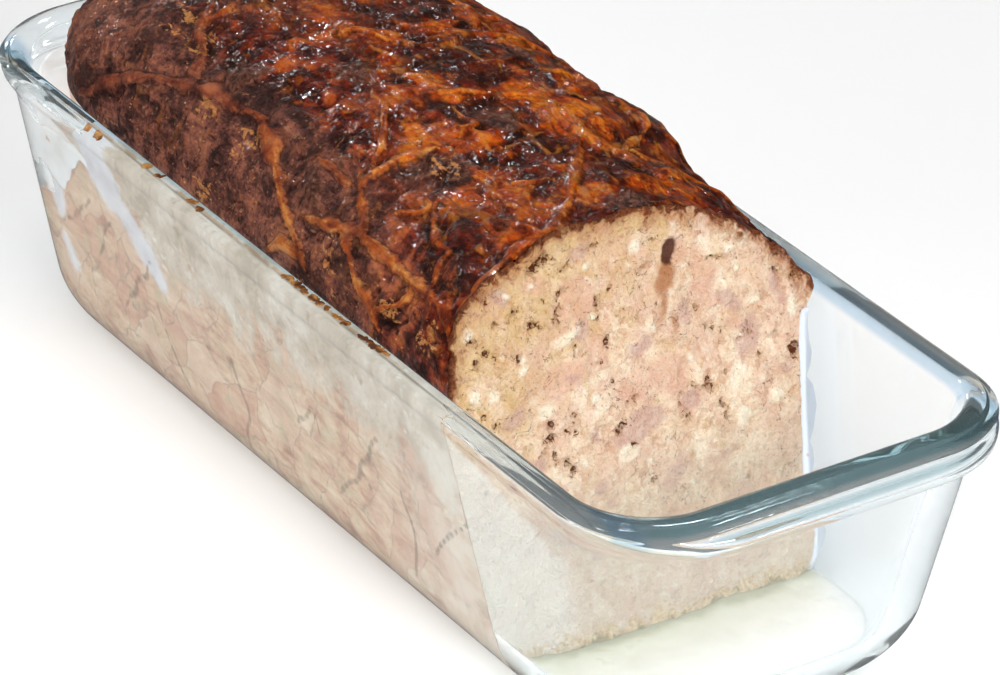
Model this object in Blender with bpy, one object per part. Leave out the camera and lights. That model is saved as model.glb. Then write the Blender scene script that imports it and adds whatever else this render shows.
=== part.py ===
"""Country terrine, baked, set and partly eaten in its clear glass loaf dish.

X runs along the dish with the eaten, open end at +X, and Z is up. The origin lies under the
middle of the dish, on the surface that it stands on. Everything is in metres.
"""

import math

import bmesh
import bpy
import numpy as np
from mathutils import Vector, noise
from mathutils.geometry import delaunay_2d_cdt

MM = 0.001
GAP = 0.5 * MM  # clearance between touching pieces

# Glass dish: outside of the tapered body, at the base and at the rim.
RIM_Z = 71 * MM
BASE_HALF_X, BASE_HALF_Y, BASE_CORNER = 127.5 * MM, 46.6 * MM, 28 * MM
TOP_HALF_X, TOP_HALF_Y, TOP_CORNER = 138.7 * MM, 54.4 * MM, 22 * MM
WALL = 4.8 * MM
FLOOR_Z = 5.0 * MM
OUTER_FILLET = 17 * MM
INNER_FILLET = 13 * MM
FILLET_STEPS = 6

# Rim: a rounded bead all round and, lower by a step, a flange that is a grip at each end.
BEAD_HALF_X, BEAD_HALF_Y, BEAD_CORNER = 141.8 * MM, 55 * MM, 23 * MM
GRIP_HALF_X, GRIP_HALF_Y, GRIP_CORNER = 148 * MM, 54.6 * MM, 30 * MM
GRIP_DROP, GRIP_THICK = 2.4 * MM, 4.2 * MM
GRIP_SPAN = (34 * MM, 46 * MM)  # half length of the flat grip, and where it has died out

# Steps round the dish: each corner arc, each long side, each end.
ARC_STEPS, LONG_STEPS, END_STEPS = 8, 5, 6

# Loaf: from the far end of the dish to a slanted cut.
FAR_INSET = 3.0 * MM  # thickness of the set fat behind the loaf's far end
CUT_X = 66 * MM  # the cut at the level of the rim
CUT_SLANT = 0.28  # how far the cut runs out for each metre down
EDGE_DROP = 2.0 * MM  # the crust meets the glass this far below the rim
FAR_EDGE_DROP = 8.0 * MM  # and this much lower again at the far end
CREST_RISE = 30.5 * MM  # crest above the crust's edge
CREST_FADE = 58 * MM  # length over which the crest falls to the far end
FAR_CORNER_X, FAR_CORNER_Y = 46 * MM, 29 * MM  # plan rounding of the crust's far corners
FAR_SHRINK_LEVELS = (0.45, 0.90)  # shares of the rim's height between which those corners round off
FAR_LOW_GAP = 1.5 * MM  # below that they follow the glass this closely
SHRINK_RIGHT = 4.4 * MM  # how far the right side has shrunk from the glass

# Relief of the crust: low lumps, and strands of the lacy fat that the loaf was wrapped in.
LUMP, LUMP_SIZE = 1.5 * MM, 17 * MM
WRINKLE, WRINKLE_SIZE = 0.8 * MM, 7 * MM
STRAND_RISE, STRAND_HALF_WIDTH = 1.4 * MM, 2.0 * MM
# Each strand runs through (millimetres from the far end, turn over the dome): turn is -1 where
# the crust meets the glass on the left, 0 in the middle of the dome and 1 on the right.
STRANDS = (
    ((34, -0.94), (55, -0.79), (78, -0.62), (101, -0.60), (118, -0.69), (134, -0.84), (140, -0.95)),
    ((150, -0.24), (145, -0.38), (143, -0.50), (148, -0.64), (156, -0.78), (167, -0.83), (176, -0.9)),
    ((197, -0.73), (196, -0.40), (191, -0.16), (180, 0.02), (167, 0.17), (159, 0.24), (137, 0.12)),
    ((159, 0.24), (166, 0.40), (176, 0.62), (181, 0.85)),
    ((145, -0.38), (157, -0.47), (168, -0.48), (180, -0.56), (178, -0.66), (187, -0.71), (195, -0.77)),
    ((133, -0.79), (149, -0.72), (156, -0.71)),
    ((90, -0.09), (98, 0.0), (106, 0.10), (122, 0.16), (137, 0.12)),
    ((60, -0.30), (63, -0.42), (78, -0.62)),
    ((106, 0.10), (103, 0.36), (112, 0.60), (108, 0.88)),
    ((60, -0.30), (52, 0.05), (58, 0.34), (80, 0.48), (103, 0.36)),
    ((52, 0.05), (34, 0.10), (18, -0.15)),
    ((80, 0.48), (76, 0.70), (84, 0.92)),
    ((58, 0.34), (40, 0.58), (33, 0.86)),
    ((112, 0.60), (134, 0.52), (152, 0.62), (166, 0.40)),
)

# Relief of the cut face, as (y, z, half width) in millimetres.
FACE_PITS = (
    (-22.9, 90.5, 2.6), (-9.0, 79.7, 1.6), (-26.5, 78.8, 1.8), (-38.6, 76.6, 1.3),
    (17.3, 55.0, 2.8), (20.8, 47.5, 2.0), (-25.4, 55.5, 2.8), (-26.6, 51.8, 1.8),
    (-21.2, 46.2, 2.3), (9.6, 50.2, 1.5), (-4.7, 46.4, 1.5), (23.5, 81.6, 2.0),
    (41.5, 55.3, 2.0),
)  # fmt: skip
FACE_CHUNKS = (
    (25.1, 54.8, 3.4), (25.8, 45.2, 3.2), (3.9, 71.3, 2.4), (-18.5, 74.3, 3.6),
    (-6.2, 45.3, 3.0), (42.0, 66.6, 3.0), (34.8, 47.3, 2.4), (2.5, 89.5, 2.6),
    (-10.0, 89.0, 2.8),
)  # fmt: skip
PIT_DEPTH, CHUNK_RISE, FACE_LUMP = 2.0 * MM, 0.6 * MM, 0.35 * MM

# Set fat: a layer down the right side of the loaf, round its far end and into both corners.
FAT_TOP_DROP_RIGHT, FAT_TOP_DROP_FAR, FAT_BOTTOM = 11.5 * MM, 5.0 * MM, 18 * MM
FAT_PAST_CUT = 0.6 * MM  # it stands out a little past the cut
FAT_LEFT_END = 22 * MM  # how far it comes forward on the left from the loaf's far end
FAT_LEFT_FOOT = 50 * MM  # and the height that its foot has risen to there
FAT_LEVELS, FAT_CORNER_STEPS = 6, 12
FAT_GAP = 0.8 * MM  # clearance between it and the loaf

# Floor fat: a shallow pool, mixed with juice, over the floor of the empty end.
POOL_TOP = FLOOR_Z + 2.6 * MM
POOL_RIPPLE = 0.4 * MM
POOL_STATIONS, POOL_ACROSS = 14, 12

# Mesh density of the loaf.
CORNER_STATIONS, LENGTH_STATIONS = 10, 46
DOME_STEPS, SIDE_STEPS, FLOOR_STEPS = 46, 8, 6
FACE_SPACING = 5.0 * MM


def smooth(low, high, value):
    """0 below low, 1 above high, and an even S between them."""
    t = min(max((value - low) / (high - low), 0.0), 1.0)
    return t * t * (3 - 2 * t)


def mix(a, b, t):
    return a + (b - a) * t


def quarter(distance, radius):
    """0 at no distance and 1 from the radius on, along a quarter of an ellipse."""
    if distance >= radius:
        return 1.0
    return math.sqrt(max(1 - (1 - distance / radius) ** 2, 0.0))


# --- the inside and outside of the dish -------------------------------------------------


def rounded_rectangle(half_x, half_y, radius):
    """Points anticlockwise round a rectangle with round corners, alike in number for any size."""
    points = []
    corners = ((1, 1), (-1, 1), (-1, -1), (1, -1))
    for number, (side_x, side_y) in enumerate(corners):
        centre_x, centre_y = side_x * (half_x - radius), side_y * (half_y - radius)
        for step in range(ARC_STEPS + 1):
            angle = math.pi / 2 * (number + step / ARC_STEPS)
            points.append((centre_x + radius * math.cos(angle), centre_y + radius * math.sin(angle)))
        start_x, start_y = points[-1]
        next_x, next_y = corners[(number + 1) % 4]
        along_x = (next_x - side_x) * (half_x - radius)
        along_y = (next_y - side_y) * (half_y - radius)
        steps = LONG_STEPS if number % 2 == 0 else END_STEPS
        for step in range(1, steps):
            points.append((start_x + along_x * step / steps, start_y + along_y * step / steps))
    return points


def body_outline(z):
    """(half_x, half_y, corner) of the dish's outer wall at a height, without the base fillet."""
    t = z / RIM_Z
    return (
        mix(BASE_HALF_X, TOP_HALF_X, t),
        mix(BASE_HALF_Y, TOP_HALF_Y, t),
        mix(BASE_CORNER, TOP_CORNER, t),
    )


def shrunk(outline, inset):
    """The outline with its sides moved in and its corners rounded to suit."""
    half_x, half_y, corner = outline
    return half_x - inset, half_y - inset, corner - inset * 0.6


def cavity_outline(z):
    """(half_x, half_y, corner) of the inside of the dish at a height, with its floor fillet."""
    floor_inset = INNER_FILLET * (1 - quarter(max(z - FLOOR_Z, 0.0), INNER_FILLET))
    return shrunk(body_outline(z), WALL + floor_inset)


def fit_into_dish(x, y, z):
    """The nearest point to this one that is inside the dish and keeps the gap to the glass."""
    z = max(z, FLOOR_Z + GAP)
    half_x, half_y, corner = cavity_outline(z)
    half_x, half_y, corner = half_x - GAP, half_y - GAP, corner - GAP
    over_x, over_y = abs(x) - (half_x - corner), abs(y) - (half_y - corner)
    reach = math.hypot(over_x, over_y)
    if over_x > 0 and over_y > 0:
        if reach > corner:
            x = math.copysign(half_x - corner + over_x * corner / reach, x)
            y = math.copysign(half_y - corner + over_y * corner / reach, y)
        return x, y, z
    return math.copysign(min(abs(x), half_x), x), math.copysign(min(abs(y), half_y), y), z


# --- building meshes --------------------------------------------------------------------


def new_object(name, mesh, material):
    mesh.materials.append(material)
    mesh.shade_smooth()
    mesh.set_sharp_from_angle(angle=math.radians(50))
    obj = bpy.data.objects.new(name, mesh)
    bpy.context.scene.collection.objects.link(obj)
    return obj


def closed_mesh(name, points, faces):
    """A mesh of triangles with every face turned out."""
    mesh = bpy.data.meshes.new(name)
    mesh.from_pydata(points, [], faces)
    work = bmesh.new()
    work.from_mesh(mesh)
    bmesh.ops.recalc_face_normals(work, faces=work.faces)
    bmesh.ops.triangulate(work, faces=work.faces, quad_method="SHORT_EDGE")
    work.to_mesh(mesh)
    work.free()
    return mesh


def ring_faces(ring_count, ring_size):
    """Quads between neighbouring closed rings of equal size."""
    return [
        (
            ring * ring_size + i,
            ring * ring_size + (i + 1) % ring_size,
            (ring + 1) * ring_size + (i + 1) % ring_size,
            (ring + 1) * ring_size + i,
        )
        for ring in range(ring_count - 1)
        for i in range(ring_size)
    ]


def stacked_rings(name, rings):
    """A closed mesh through rings of points, with a flat face on the first and the last."""
    size = len(rings[0])
    faces = ring_faces(len(rings), size)
    faces.append(tuple(range(size)))
    faces.append(tuple((len(rings) - 1) * size + i for i in range(size)))
    return closed_mesh(name, [point for ring in rings for point in ring], faces)


def plain_material(name, colour, roughness, transmission=0.0):
    material = bpy.data.materials.new(name)
    material.use_nodes = True
    shader = material.node_tree.nodes["Principled BSDF"]
    shader.inputs["Base Color"].default_value = (*colour, 1)
    shader.inputs["Roughness"].default_value = roughness
    shader.inputs["Metallic"].default_value = 0.0
    shader.inputs["Transmission Weight"].default_value = transmission
    material.diffuse_color = (*colour, 1)
    return material


# --- glass dish -------------------------------------------------------------------------


def level_ring(outline, z, drop_at_ends=0.0):
    """One ring round the dish, lower by the drop along the flat of each grip."""
    ring = []
    for x, y in rounded_rectangle(*outline):
        at_grip = (1 - smooth(*GRIP_SPAN, abs(y))) if abs(x) > BASE_HALF_X - BASE_CORNER else 0.0
        ring.append((x, y, z - drop_at_ends * at_grip))
    return ring


def outer_rings():
    """Up the outside of the body, from the flat base round its fillet to under the flange."""
    rings = []
    for step in range(FILLET_STEPS + 1):
        angle = math.pi / 2 * step / FILLET_STEPS
        z = OUTER_FILLET * (1 - math.cos(angle))
        rings.append(level_ring(shrunk(body_outline(z), OUTER_FILLET * (1 - math.sin(angle))), z))
    neck = RIM_Z - GRIP_DROP - GRIP_THICK - 1.2 * MM
    rings.append(level_ring(body_outline(neck), neck))
    return rings


def rim_rings():
    """Round the flange's edge, up the step to the bead, and over the bead."""
    bead = (BEAD_HALF_X, BEAD_HALF_Y, BEAD_CORNER)
    flange = (
        (1.6 * MM, GRIP_DROP + GRIP_THICK),
        (0.5 * MM, GRIP_DROP + GRIP_THICK - 1.0 * MM),
        (0.0 * MM, GRIP_DROP + 1.2 * MM),
        (0.9 * MM, GRIP_DROP + 0.2 * MM),
    )
    rings = []
    for inset, drop in flange:
        outline = (GRIP_HALF_X - inset, GRIP_HALF_Y - inset * 0.4, GRIP_CORNER - inset)
        rings.append(level_ring(outline, RIM_Z - drop))
    over = ((-0.5, 1.9, 0.6), (0.0, 1.2, 0.5), (0.8, 0.4, 0.1), (2.2, 0.0, 0.0), (3.8, 0.0, 0.0))
    for inset, drop, drop_at_ends in over:
        rings.append(level_ring(shrunk(bead, inset * MM), RIM_Z - drop * MM, drop_at_ends * MM))
    return rings


def inner_rings():
    """Down the inside, round the floor fillet to the flat floor."""
    rings = []
    for inset, drop in ((3.9, 0.5), (4.8, 2.0)):
        z = RIM_Z - drop * MM
        rings.append(level_ring(shrunk(body_outline(z), inset * MM), z))
    for z in (RIM_Z * 0.62, FLOOR_Z + INNER_FILLET):
        rings.append(level_ring(cavity_outline(z), z))
    for step in range(1, FILLET_STEPS + 1):
        z = FLOOR_Z + INNER_FILLET * (1 - math.sin(math.pi / 2 * step / FILLET_STEPS))
        rings.append(level_ring(cavity_outline(z), z))
    return rings


def build_dish(material):
    rings = outer_rings() + rim_rings() + inner_rings()
    return new_object("dish", stacked_rings("dish", rings), material)


# --- the loaf's smooth form -------------------------------------------------------------


def far_x(z):
    """Where the loaf's far end stands at a height."""
    return -(body_outline(z)[0] - WALL - FAR_INSET)


def cut_x(z):
    return CUT_X + CUT_SLANT * (RIM_Z - z)


LOAF_LENGTH = CUT_X - far_x(RIM_Z)


def loaf_x(depth, z):
    """X at a depth from the loaf's far end and a height: upright there, slanted at the cut."""
    return mix(far_x(z), cut_x(z), depth / LOAF_LENGTH)


def loaf_half_y(depth, z, side):
    """Half width of the loaf at a depth and a height; side is -1 left and 1 right."""
    level = z / RIM_Z
    _, half, glass_corner = cavity_outline(z)
    if side > 0:
        half -= SHRINK_RIGHT * smooth(0.02, 0.3, level) * (1 - smooth(0.84, 1.03, level))
    shrunk_away = smooth(*FAR_SHRINK_LEVELS, level)
    corner_x = mix(glass_corner - FAR_LOW_GAP, FAR_CORNER_X, shrunk_away)
    corner_y = mix(glass_corner - FAR_LOW_GAP, FAR_CORNER_Y, shrunk_away)
    return half - corner_y * (1 - quarter(depth, corner_x))


def edge_height(depth):
    """Height at which the crust leaves the glass."""
    return RIM_Z - EDGE_DROP - FAR_EDGE_DROP * (1 - quarter(depth, FAR_CORNER_X))


def dome_shape(depth):
    """(rise, power on the right, power on the left) of the dome across the loaf at a depth."""
    x = loaf_x(depth, RIM_Z)
    near_cut = smooth(15 * MM, 40 * MM, x)
    far = 1 - smooth(30 * MM, 90 * MM, depth)
    rise = CREST_RISE * quarter(depth, CREST_FADE) - 0.8 * MM * near_cut + 5 * MM * far * (
        1 - quarter(depth, CREST_FADE)
    )
    return rise, mix(2.5, 1.62, near_cut), mix(2.4, 3.0, far)


def dome_arc(depth, count):
    """Points evenly along the dome at a depth, as (y, z), from the right edge to the left."""
    rise, power_right, power_left = dome_shape(depth)
    edge = edge_height(depth)
    angles = np.linspace(0, math.pi, 241)
    right = angles <= math.pi / 2
    power = np.where(right, 2 / power_right, 2 / power_left)
    half = np.where(right, loaf_half_y(depth, edge, 1), loaf_half_y(depth, edge, -1))
    y = np.sign(np.cos(angles)) * np.abs(np.cos(angles)) ** power * half
    z = edge + rise * np.abs(np.sin(angles)) ** power
    along = np.concatenate(([0], np.cumsum(np.hypot(np.diff(y), np.diff(z)))))
    even = np.linspace(0, along[-1], count)
    return list(zip(np.interp(even, along, y), np.interp(even, along, z)))


def loaf_section(depth):
    """The smooth outline across the loaf at a depth, as (y, z): floor, right side, dome, left."""
    floor = FLOOR_Z + INNER_FILLET * (1 - quarter(depth, INNER_FILLET))
    edge = edge_height(depth)
    half_floor = loaf_half_y(depth, floor, -1)
    shares = [(1 - math.cos(math.pi * step / SIDE_STEPS)) / 2 for step in range(SIDE_STEPS)]
    levels = [mix(floor, edge, share) for share in shares]
    outline = [(mix(-half_floor, half_floor, i / FLOOR_STEPS), floor) for i in range(1, FLOOR_STEPS)]
    outline += [(loaf_half_y(depth, z, 1), z) for z in levels]
    outline += dome_arc(depth, DOME_STEPS + 1)
    outline += [(-loaf_half_y(depth, z, -1), z) for z in reversed(levels)]
    return outline


def station_depths():
    """Depths of the stations, close together round the far end."""
    corner = [
        FAR_CORNER_X * (1 - math.cos(math.pi / 2 * i / CORNER_STATIONS))
        for i in range(CORNER_STATIONS)
    ]
    return corner + list(np.linspace(FAR_CORNER_X, LOAF_LENGTH, LENGTH_STATIONS))


def inside_outline(point, outline):
    """Whether a point is inside a closed outline."""
    y, z = point
    inside = False
    for (y0, z0), (y1, z1) in zip(outline, outline[1:] + outline[:1]):
        if (z0 > z) != (z1 > z) and y < y0 + (z - z0) * (y1 - y0) / (z1 - z0):
            inside = not inside
    return inside


def filled_ring(ring, spacing, marks):
    """(new points as (y, z), triangles) that close a ring seen along X.

    A mark is the (y, z, half width) of a feature that needs points of its own.
    """
    outline = [(y, z) for _, y, z in ring]
    low_y, high_y = min(y for y, _ in outline), max(y for y, _ in outline)
    low_z, high_z = min(z for _, z in outline), max(z for _, z in outline)
    candidates = []
    for y, z, half_width in marks:
        candidates.append((y * MM, z * MM))
        for step in range(5):
            angle = math.tau * step / 5
            reach = 1.1 * half_width
            candidates.append(((y + reach * math.cos(angle)) * MM, (z + reach * math.sin(angle)) * MM))
    marked = len(candidates)
    rows = int((high_z - low_z) / (spacing * 0.87))
    columns = int((high_y - low_y) / spacing)
    for row in range(1, rows + 1):
        for column in range(columns + 1):
            y = low_y + spacing * (column + 0.5 * (row % 2))
            candidates.append((y, low_z + spacing * 0.87 * row))
    taken = list(outline)
    inner = []
    for number, point in enumerate(candidates):
        room = 0.2 * spacing if number < marked else 0.6 * spacing
        nearest = np.hypot(*(np.array(taken) - np.array(point)).T).min()
        if nearest > room and inside_outline(point, outline):
            inner.append(point)
            taken.append(point)
    flat = [Vector(point) for point in outline + inner]
    result = delaunay_2d_cdt(flat, [], [list(range(len(ring)))], 1, 1e-7)
    source = [origin[0] for origin in result[3]]
    triangles = [tuple(source[i] for i in face) for face in result[2]]
    return inner, triangles


# --- the loaf's relief ------------------------------------------------------------------


def distance_to_path(x, y, path):
    """Distance in the plane from a point to a path of straight pieces."""
    nearest = math.inf
    for (x0, y0), (x1, y1) in zip(path, path[1:]):
        along_x, along_y = x1 - x0, y1 - y0
        t = ((x - x0) * along_x + (y - y0) * along_y) / (along_x**2 + along_y**2)
        t = min(max(t, 0.0), 1.0)
        nearest = min(nearest, math.hypot(x - x0 - t * along_x, y - y0 - t * along_y))
    return nearest


HALF_ARC = 62 * MM  # length over the dome from its middle to the glass
STRAND_PATHS = [[(depth * MM, turn * HALF_ARC) for depth, turn in strand] for strand in STRANDS]


def crust_relief(point, depth, turn):
    """How far the crust stands out of the smooth dome."""
    place = Vector(point)
    lumps = LUMP * noise.noise(place / LUMP_SIZE) + WRINKLE * noise.noise(place / WRINKLE_SIZE)
    near = min(distance_to_path(depth, turn * HALF_ARC, path) for path in STRAND_PATHS)
    strand = STRAND_RISE * math.exp(-((near / STRAND_HALF_WIDTH) ** 2))
    return (lumps + strand) * smooth(0.0, 0.12, 1 - abs(turn)) * smooth(0.0, 18 * MM, depth)


def face_relief(y, z):
    """How far the cut face stands out of its plane."""
    relief = FACE_LUMP * noise.noise(Vector((y, z, 0)) / (9 * MM))
    for features, rise in ((FACE_PITS, -PIT_DEPTH), (FACE_CHUNKS, CHUNK_RISE)):
        for centre_y, centre_z, half_width in features:
            away = math.hypot(y - centre_y * MM, z - centre_z * MM) / (half_width * MM)
            relief += rise * math.exp(-(away**2))
    return relief


def build_loaf(material):
    rings, relief = [], []
    dome_start = FLOOR_STEPS - 1 + SIDE_STEPS
    for depth in station_depths():
        ring = [(loaf_x(depth, z), y, z) for y, z in loaf_section(depth)]
        ring = [fit_into_dish(*point) if point[2] < RIM_Z else point for point in ring]
        for number, point in enumerate(ring):
            step = number - dome_start
            on_dome = 0 < step < DOME_STEPS
            turn = 1 - 2 * step / DOME_STEPS
            relief.append(crust_relief(point, depth, turn) if on_dome else 0.0)
        rings.append(ring)
    size = len(rings[0])
    points = [point for ring in rings for point in ring]
    faces = ring_faces(len(rings), size)
    last = (len(rings) - 1) * size
    for ring, start, surface, marks in (
        (rings[0], 0, far_x, ()),
        (rings[-1], last, cut_x, FACE_PITS + FACE_CHUNKS),
    ):
        inner, triangles = filled_ring(ring, FACE_SPACING, marks)
        extra = len(points)
        points += [(surface(z), y, z) for y, z in inner]
        relief += [face_relief(y, z) if marks else 0.0 for y, z in inner]
        faces += [
            tuple(start + i if i < size else extra + i - size for i in triangle)
            for triangle in triangles
        ]
    mesh = closed_mesh("terrine", points, faces)
    for vertex, rise in zip(mesh.vertices, relief):
        vertex.co += vertex.normal * rise
    return new_object("terrine", mesh, material)


# --- fat that has set round the loaf ----------------------------------------------------


def out_to_glass(x, y, z, across_x, across_y):
    """Where a level line from a point meets the glass, short of it by the gap."""
    near, far = 0.0, 40 * MM
    for _ in range(30):
        middle = (near + far) / 2
        there = (x + across_x * middle, y + across_y * middle, z)
        if math.dist(fit_into_dish(*there), there) > 1e-9:
            far = middle
        else:
            near = middle
    return x + across_x * near, y + across_y * near


def fat_path():
    """(depth, side, outward direction) of each station of the fat, from the cut round the end."""
    path = [(depth, 1, (0.0, 1.0)) for depth in np.linspace(LOAF_LENGTH, FAR_CORNER_X, 9)]
    turns = [math.pi / 2 * step / FAT_CORNER_STEPS for step in range(1, FAT_CORNER_STEPS + 1)]
    path += [
        (FAR_CORNER_X * (1 - math.cos(math.pi / 2 - turn)), 1, (-math.sin(turn), math.cos(turn)))
        for turn in turns
    ]
    path += [(0.0, -1, (-1.0, 0.0))]
    path += [
        (FAR_CORNER_X * (1 - math.cos(turn)), -1, (-math.cos(turn), -math.sin(turn)))
        for turn in turns
        if FAR_CORNER_X * (1 - math.cos(turn)) < FAT_LEFT_END
    ]
    return path


def build_set_fat(material):
    rings = []
    for number, (depth, side, (across_x, across_y)) in enumerate(fat_path()):
        far = 1 - smooth(0.1 * FAR_CORNER_X, 0.45 * FAR_CORNER_X, depth)
        top = RIM_Z - mix(FAT_TOP_DROP_RIGHT, FAT_TOP_DROP_FAR, far)
        top -= 1.0 * MM * abs(math.sin(number * 1.7))
        risen = quarter(depth, FAT_LEFT_END) if side < 0 else 0.0
        foot = mix(FAT_BOTTOM, FAT_LEFT_FOOT, risen)
        levels = [mix(foot, top, step / (FAT_LEVELS - 1)) for step in range(FAT_LEVELS)]
        inner, outer = [], []
        for z in levels:
            past = FAT_PAST_CUT if number == 0 else 0.0
            x = loaf_x(depth, z) + past
            y = side * loaf_half_y(depth, z, side)
            x, y = x + across_x * FAT_GAP, y + across_y * FAT_GAP
            inner.append((x, y, z))
            outer.append((*out_to_glass(x, y, z, across_x, across_y), z))
        rings.append(inner + outer[::-1])
    return new_object("set_fat", stacked_rings("set_fat", rings), material)


def build_floor_fat(material):
    rings = []
    for step in range(POOL_STATIONS + 1):
        t = math.sin(math.pi / 2 * step / POOL_STATIONS)
        ring = []
        for z, order in ((FLOOR_Z + GAP, 1), (POOL_TOP, -1)):
            half_x, half_y, corner = cavity_outline(z)
            x = mix(cut_x(z) + 2 * GAP, half_x - 2 * GAP, t)
            past = max(x - (half_x - corner), 0.0) / corner
            half = half_y - 2 * GAP - corner * (1 - math.sqrt(1 - past**2))
            for across in np.linspace(-half * order, half * order, POOL_ACROSS):
                ripple = POOL_RIPPLE * noise.noise(Vector((x, across, 0)) / (14 * MM))
                ring.append((x, across, z if order > 0 else z + ripple))
        rings.append(ring)
    return new_object("floor_fat", stacked_rings("floor_fat", rings), material)


def main():
    for obj in list(bpy.data.objects):
        bpy.data.objects.remove(obj, do_unlink=True)
    build_dish(plain_material("clear_glass", (0.86, 0.93, 0.93), 0.03, transmission=0.9))
    build_loaf(plain_material("baked_meat", (0.36, 0.16, 0.09), 0.45))
    white_fat = plain_material("white_fat", (0.88, 0.86, 0.80), 0.5)
    build_set_fat(white_fat)
    build_floor_fat(white_fat)


main()
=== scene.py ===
"""Looks of a country terrine, cut open at one end, in the clear glass loaf dish that it set in.

Everything is in metres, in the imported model's frame: X runs along the dish, the cut faces +X, Z is up.
"""

import math

import bpy
import numpy as np
from mathutils import Matrix, Vector, noise
from mathutils.geometry import delaunay_2d_cdt


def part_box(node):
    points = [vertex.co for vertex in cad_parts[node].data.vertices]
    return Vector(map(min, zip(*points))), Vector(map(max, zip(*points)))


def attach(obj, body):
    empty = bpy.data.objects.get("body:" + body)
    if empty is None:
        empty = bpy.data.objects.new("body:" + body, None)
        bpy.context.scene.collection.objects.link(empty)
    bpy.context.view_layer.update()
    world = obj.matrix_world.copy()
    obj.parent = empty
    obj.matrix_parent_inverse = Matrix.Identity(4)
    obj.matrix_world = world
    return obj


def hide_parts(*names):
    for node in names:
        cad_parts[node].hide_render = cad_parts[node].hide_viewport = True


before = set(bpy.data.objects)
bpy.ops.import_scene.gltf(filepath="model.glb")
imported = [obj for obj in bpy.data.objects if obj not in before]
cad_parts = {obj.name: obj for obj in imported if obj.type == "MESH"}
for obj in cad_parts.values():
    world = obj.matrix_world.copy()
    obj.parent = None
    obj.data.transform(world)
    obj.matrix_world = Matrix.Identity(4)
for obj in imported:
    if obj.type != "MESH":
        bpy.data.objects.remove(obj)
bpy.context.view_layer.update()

MM = 0.001
INTO_GLASS = 0.35 * MM  # how far what fills the dish reaches into its wall

# Glass dish: outside of the tapered body, at the base and at the rim.
RIM_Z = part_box("dish")[1].z
BASE_HALF_X, BASE_HALF_Y, BASE_CORNER = 127.5 * MM, 46.6 * MM, 28 * MM
TOP_HALF_X, TOP_HALF_Y, TOP_CORNER = 138.7 * MM, 54.4 * MM, 22 * MM
WALL = 4.8 * MM
FLOOR_Z = 5.0 * MM
OUTER_FILLET = 17 * MM
INNER_FILLET = 13 * MM
BEAD_HALF_X, BEAD_HALF_Y, BEAD_CORNER = 141.8 * MM, 55 * MM, 23 * MM
GRIP_HALF_X, GRIP_HALF_Y, GRIP_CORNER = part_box("dish")[1].x, 54.6 * MM, 30 * MM
GRIP_DROP, GRIP_THICK = 2.4 * MM, 4.2 * MM
GRIP_SPAN = (34 * MM, 46 * MM)  # half length of the flat grip, and where it has died out

# Loaf: from the far end of the dish to a slanted cut.
FAR_INSET = 3.0 * MM
CUT_X = 66 * MM
CUT_SLANT = 0.28
EDGE_DROP, FAR_EDGE_DROP = 2.0 * MM, 8.0 * MM
CREST_RISE, CREST_FADE = 30.5 * MM, 58 * MM
CREST_DROP_CUT, CREST_RISE_FAR = 0.8 * MM, 5 * MM
FAR_CORNER_X, FAR_CORNER_Y = 46 * MM, 29 * MM
FAR_SHRINK_LEVELS, FAR_LOW_GAP = (0.45, 0.90), 6 * MM
SHRINK_RIGHT = 4.4 * MM
LUMP, LUMP_SIZE = 1.5 * MM, 17 * MM
WRINKLE, WRINKLE_SIZE = 0.8 * MM, 7 * MM
HALF_ARC = 62 * MM  # length over the dome from its middle to the glass

# Relief of the crust and of the cut.
STRAND_RISE, LACE_RISE, GROOVE, CREASE = 0.6 * MM, 0.35 * MM, 0.35 * MM, 0.7 * MM
PILLOW_RISE, PILLOW_SIZE, PILLOW_EDGE = 0.9 * MM, 6.5 * MM, 2.6 * MM
FIBRE_RISE, GRIT, CHAR_RISE = 0.20 * MM, 0.22 * MM, 0.35 * MM
TAPER, LACE_SIZE = 5 * MM, 11 * MM  # length of a strand's thin end, and width of the fine net's holes
PIT_DEPTH, FAT_RISE, SPOT_DEPTH, EDGE_RISE = 2.0 * MM, 0.28 * MM, 0.4 * MM, 0.35 * MM

CREST_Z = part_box("terrine")[1].z

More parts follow.
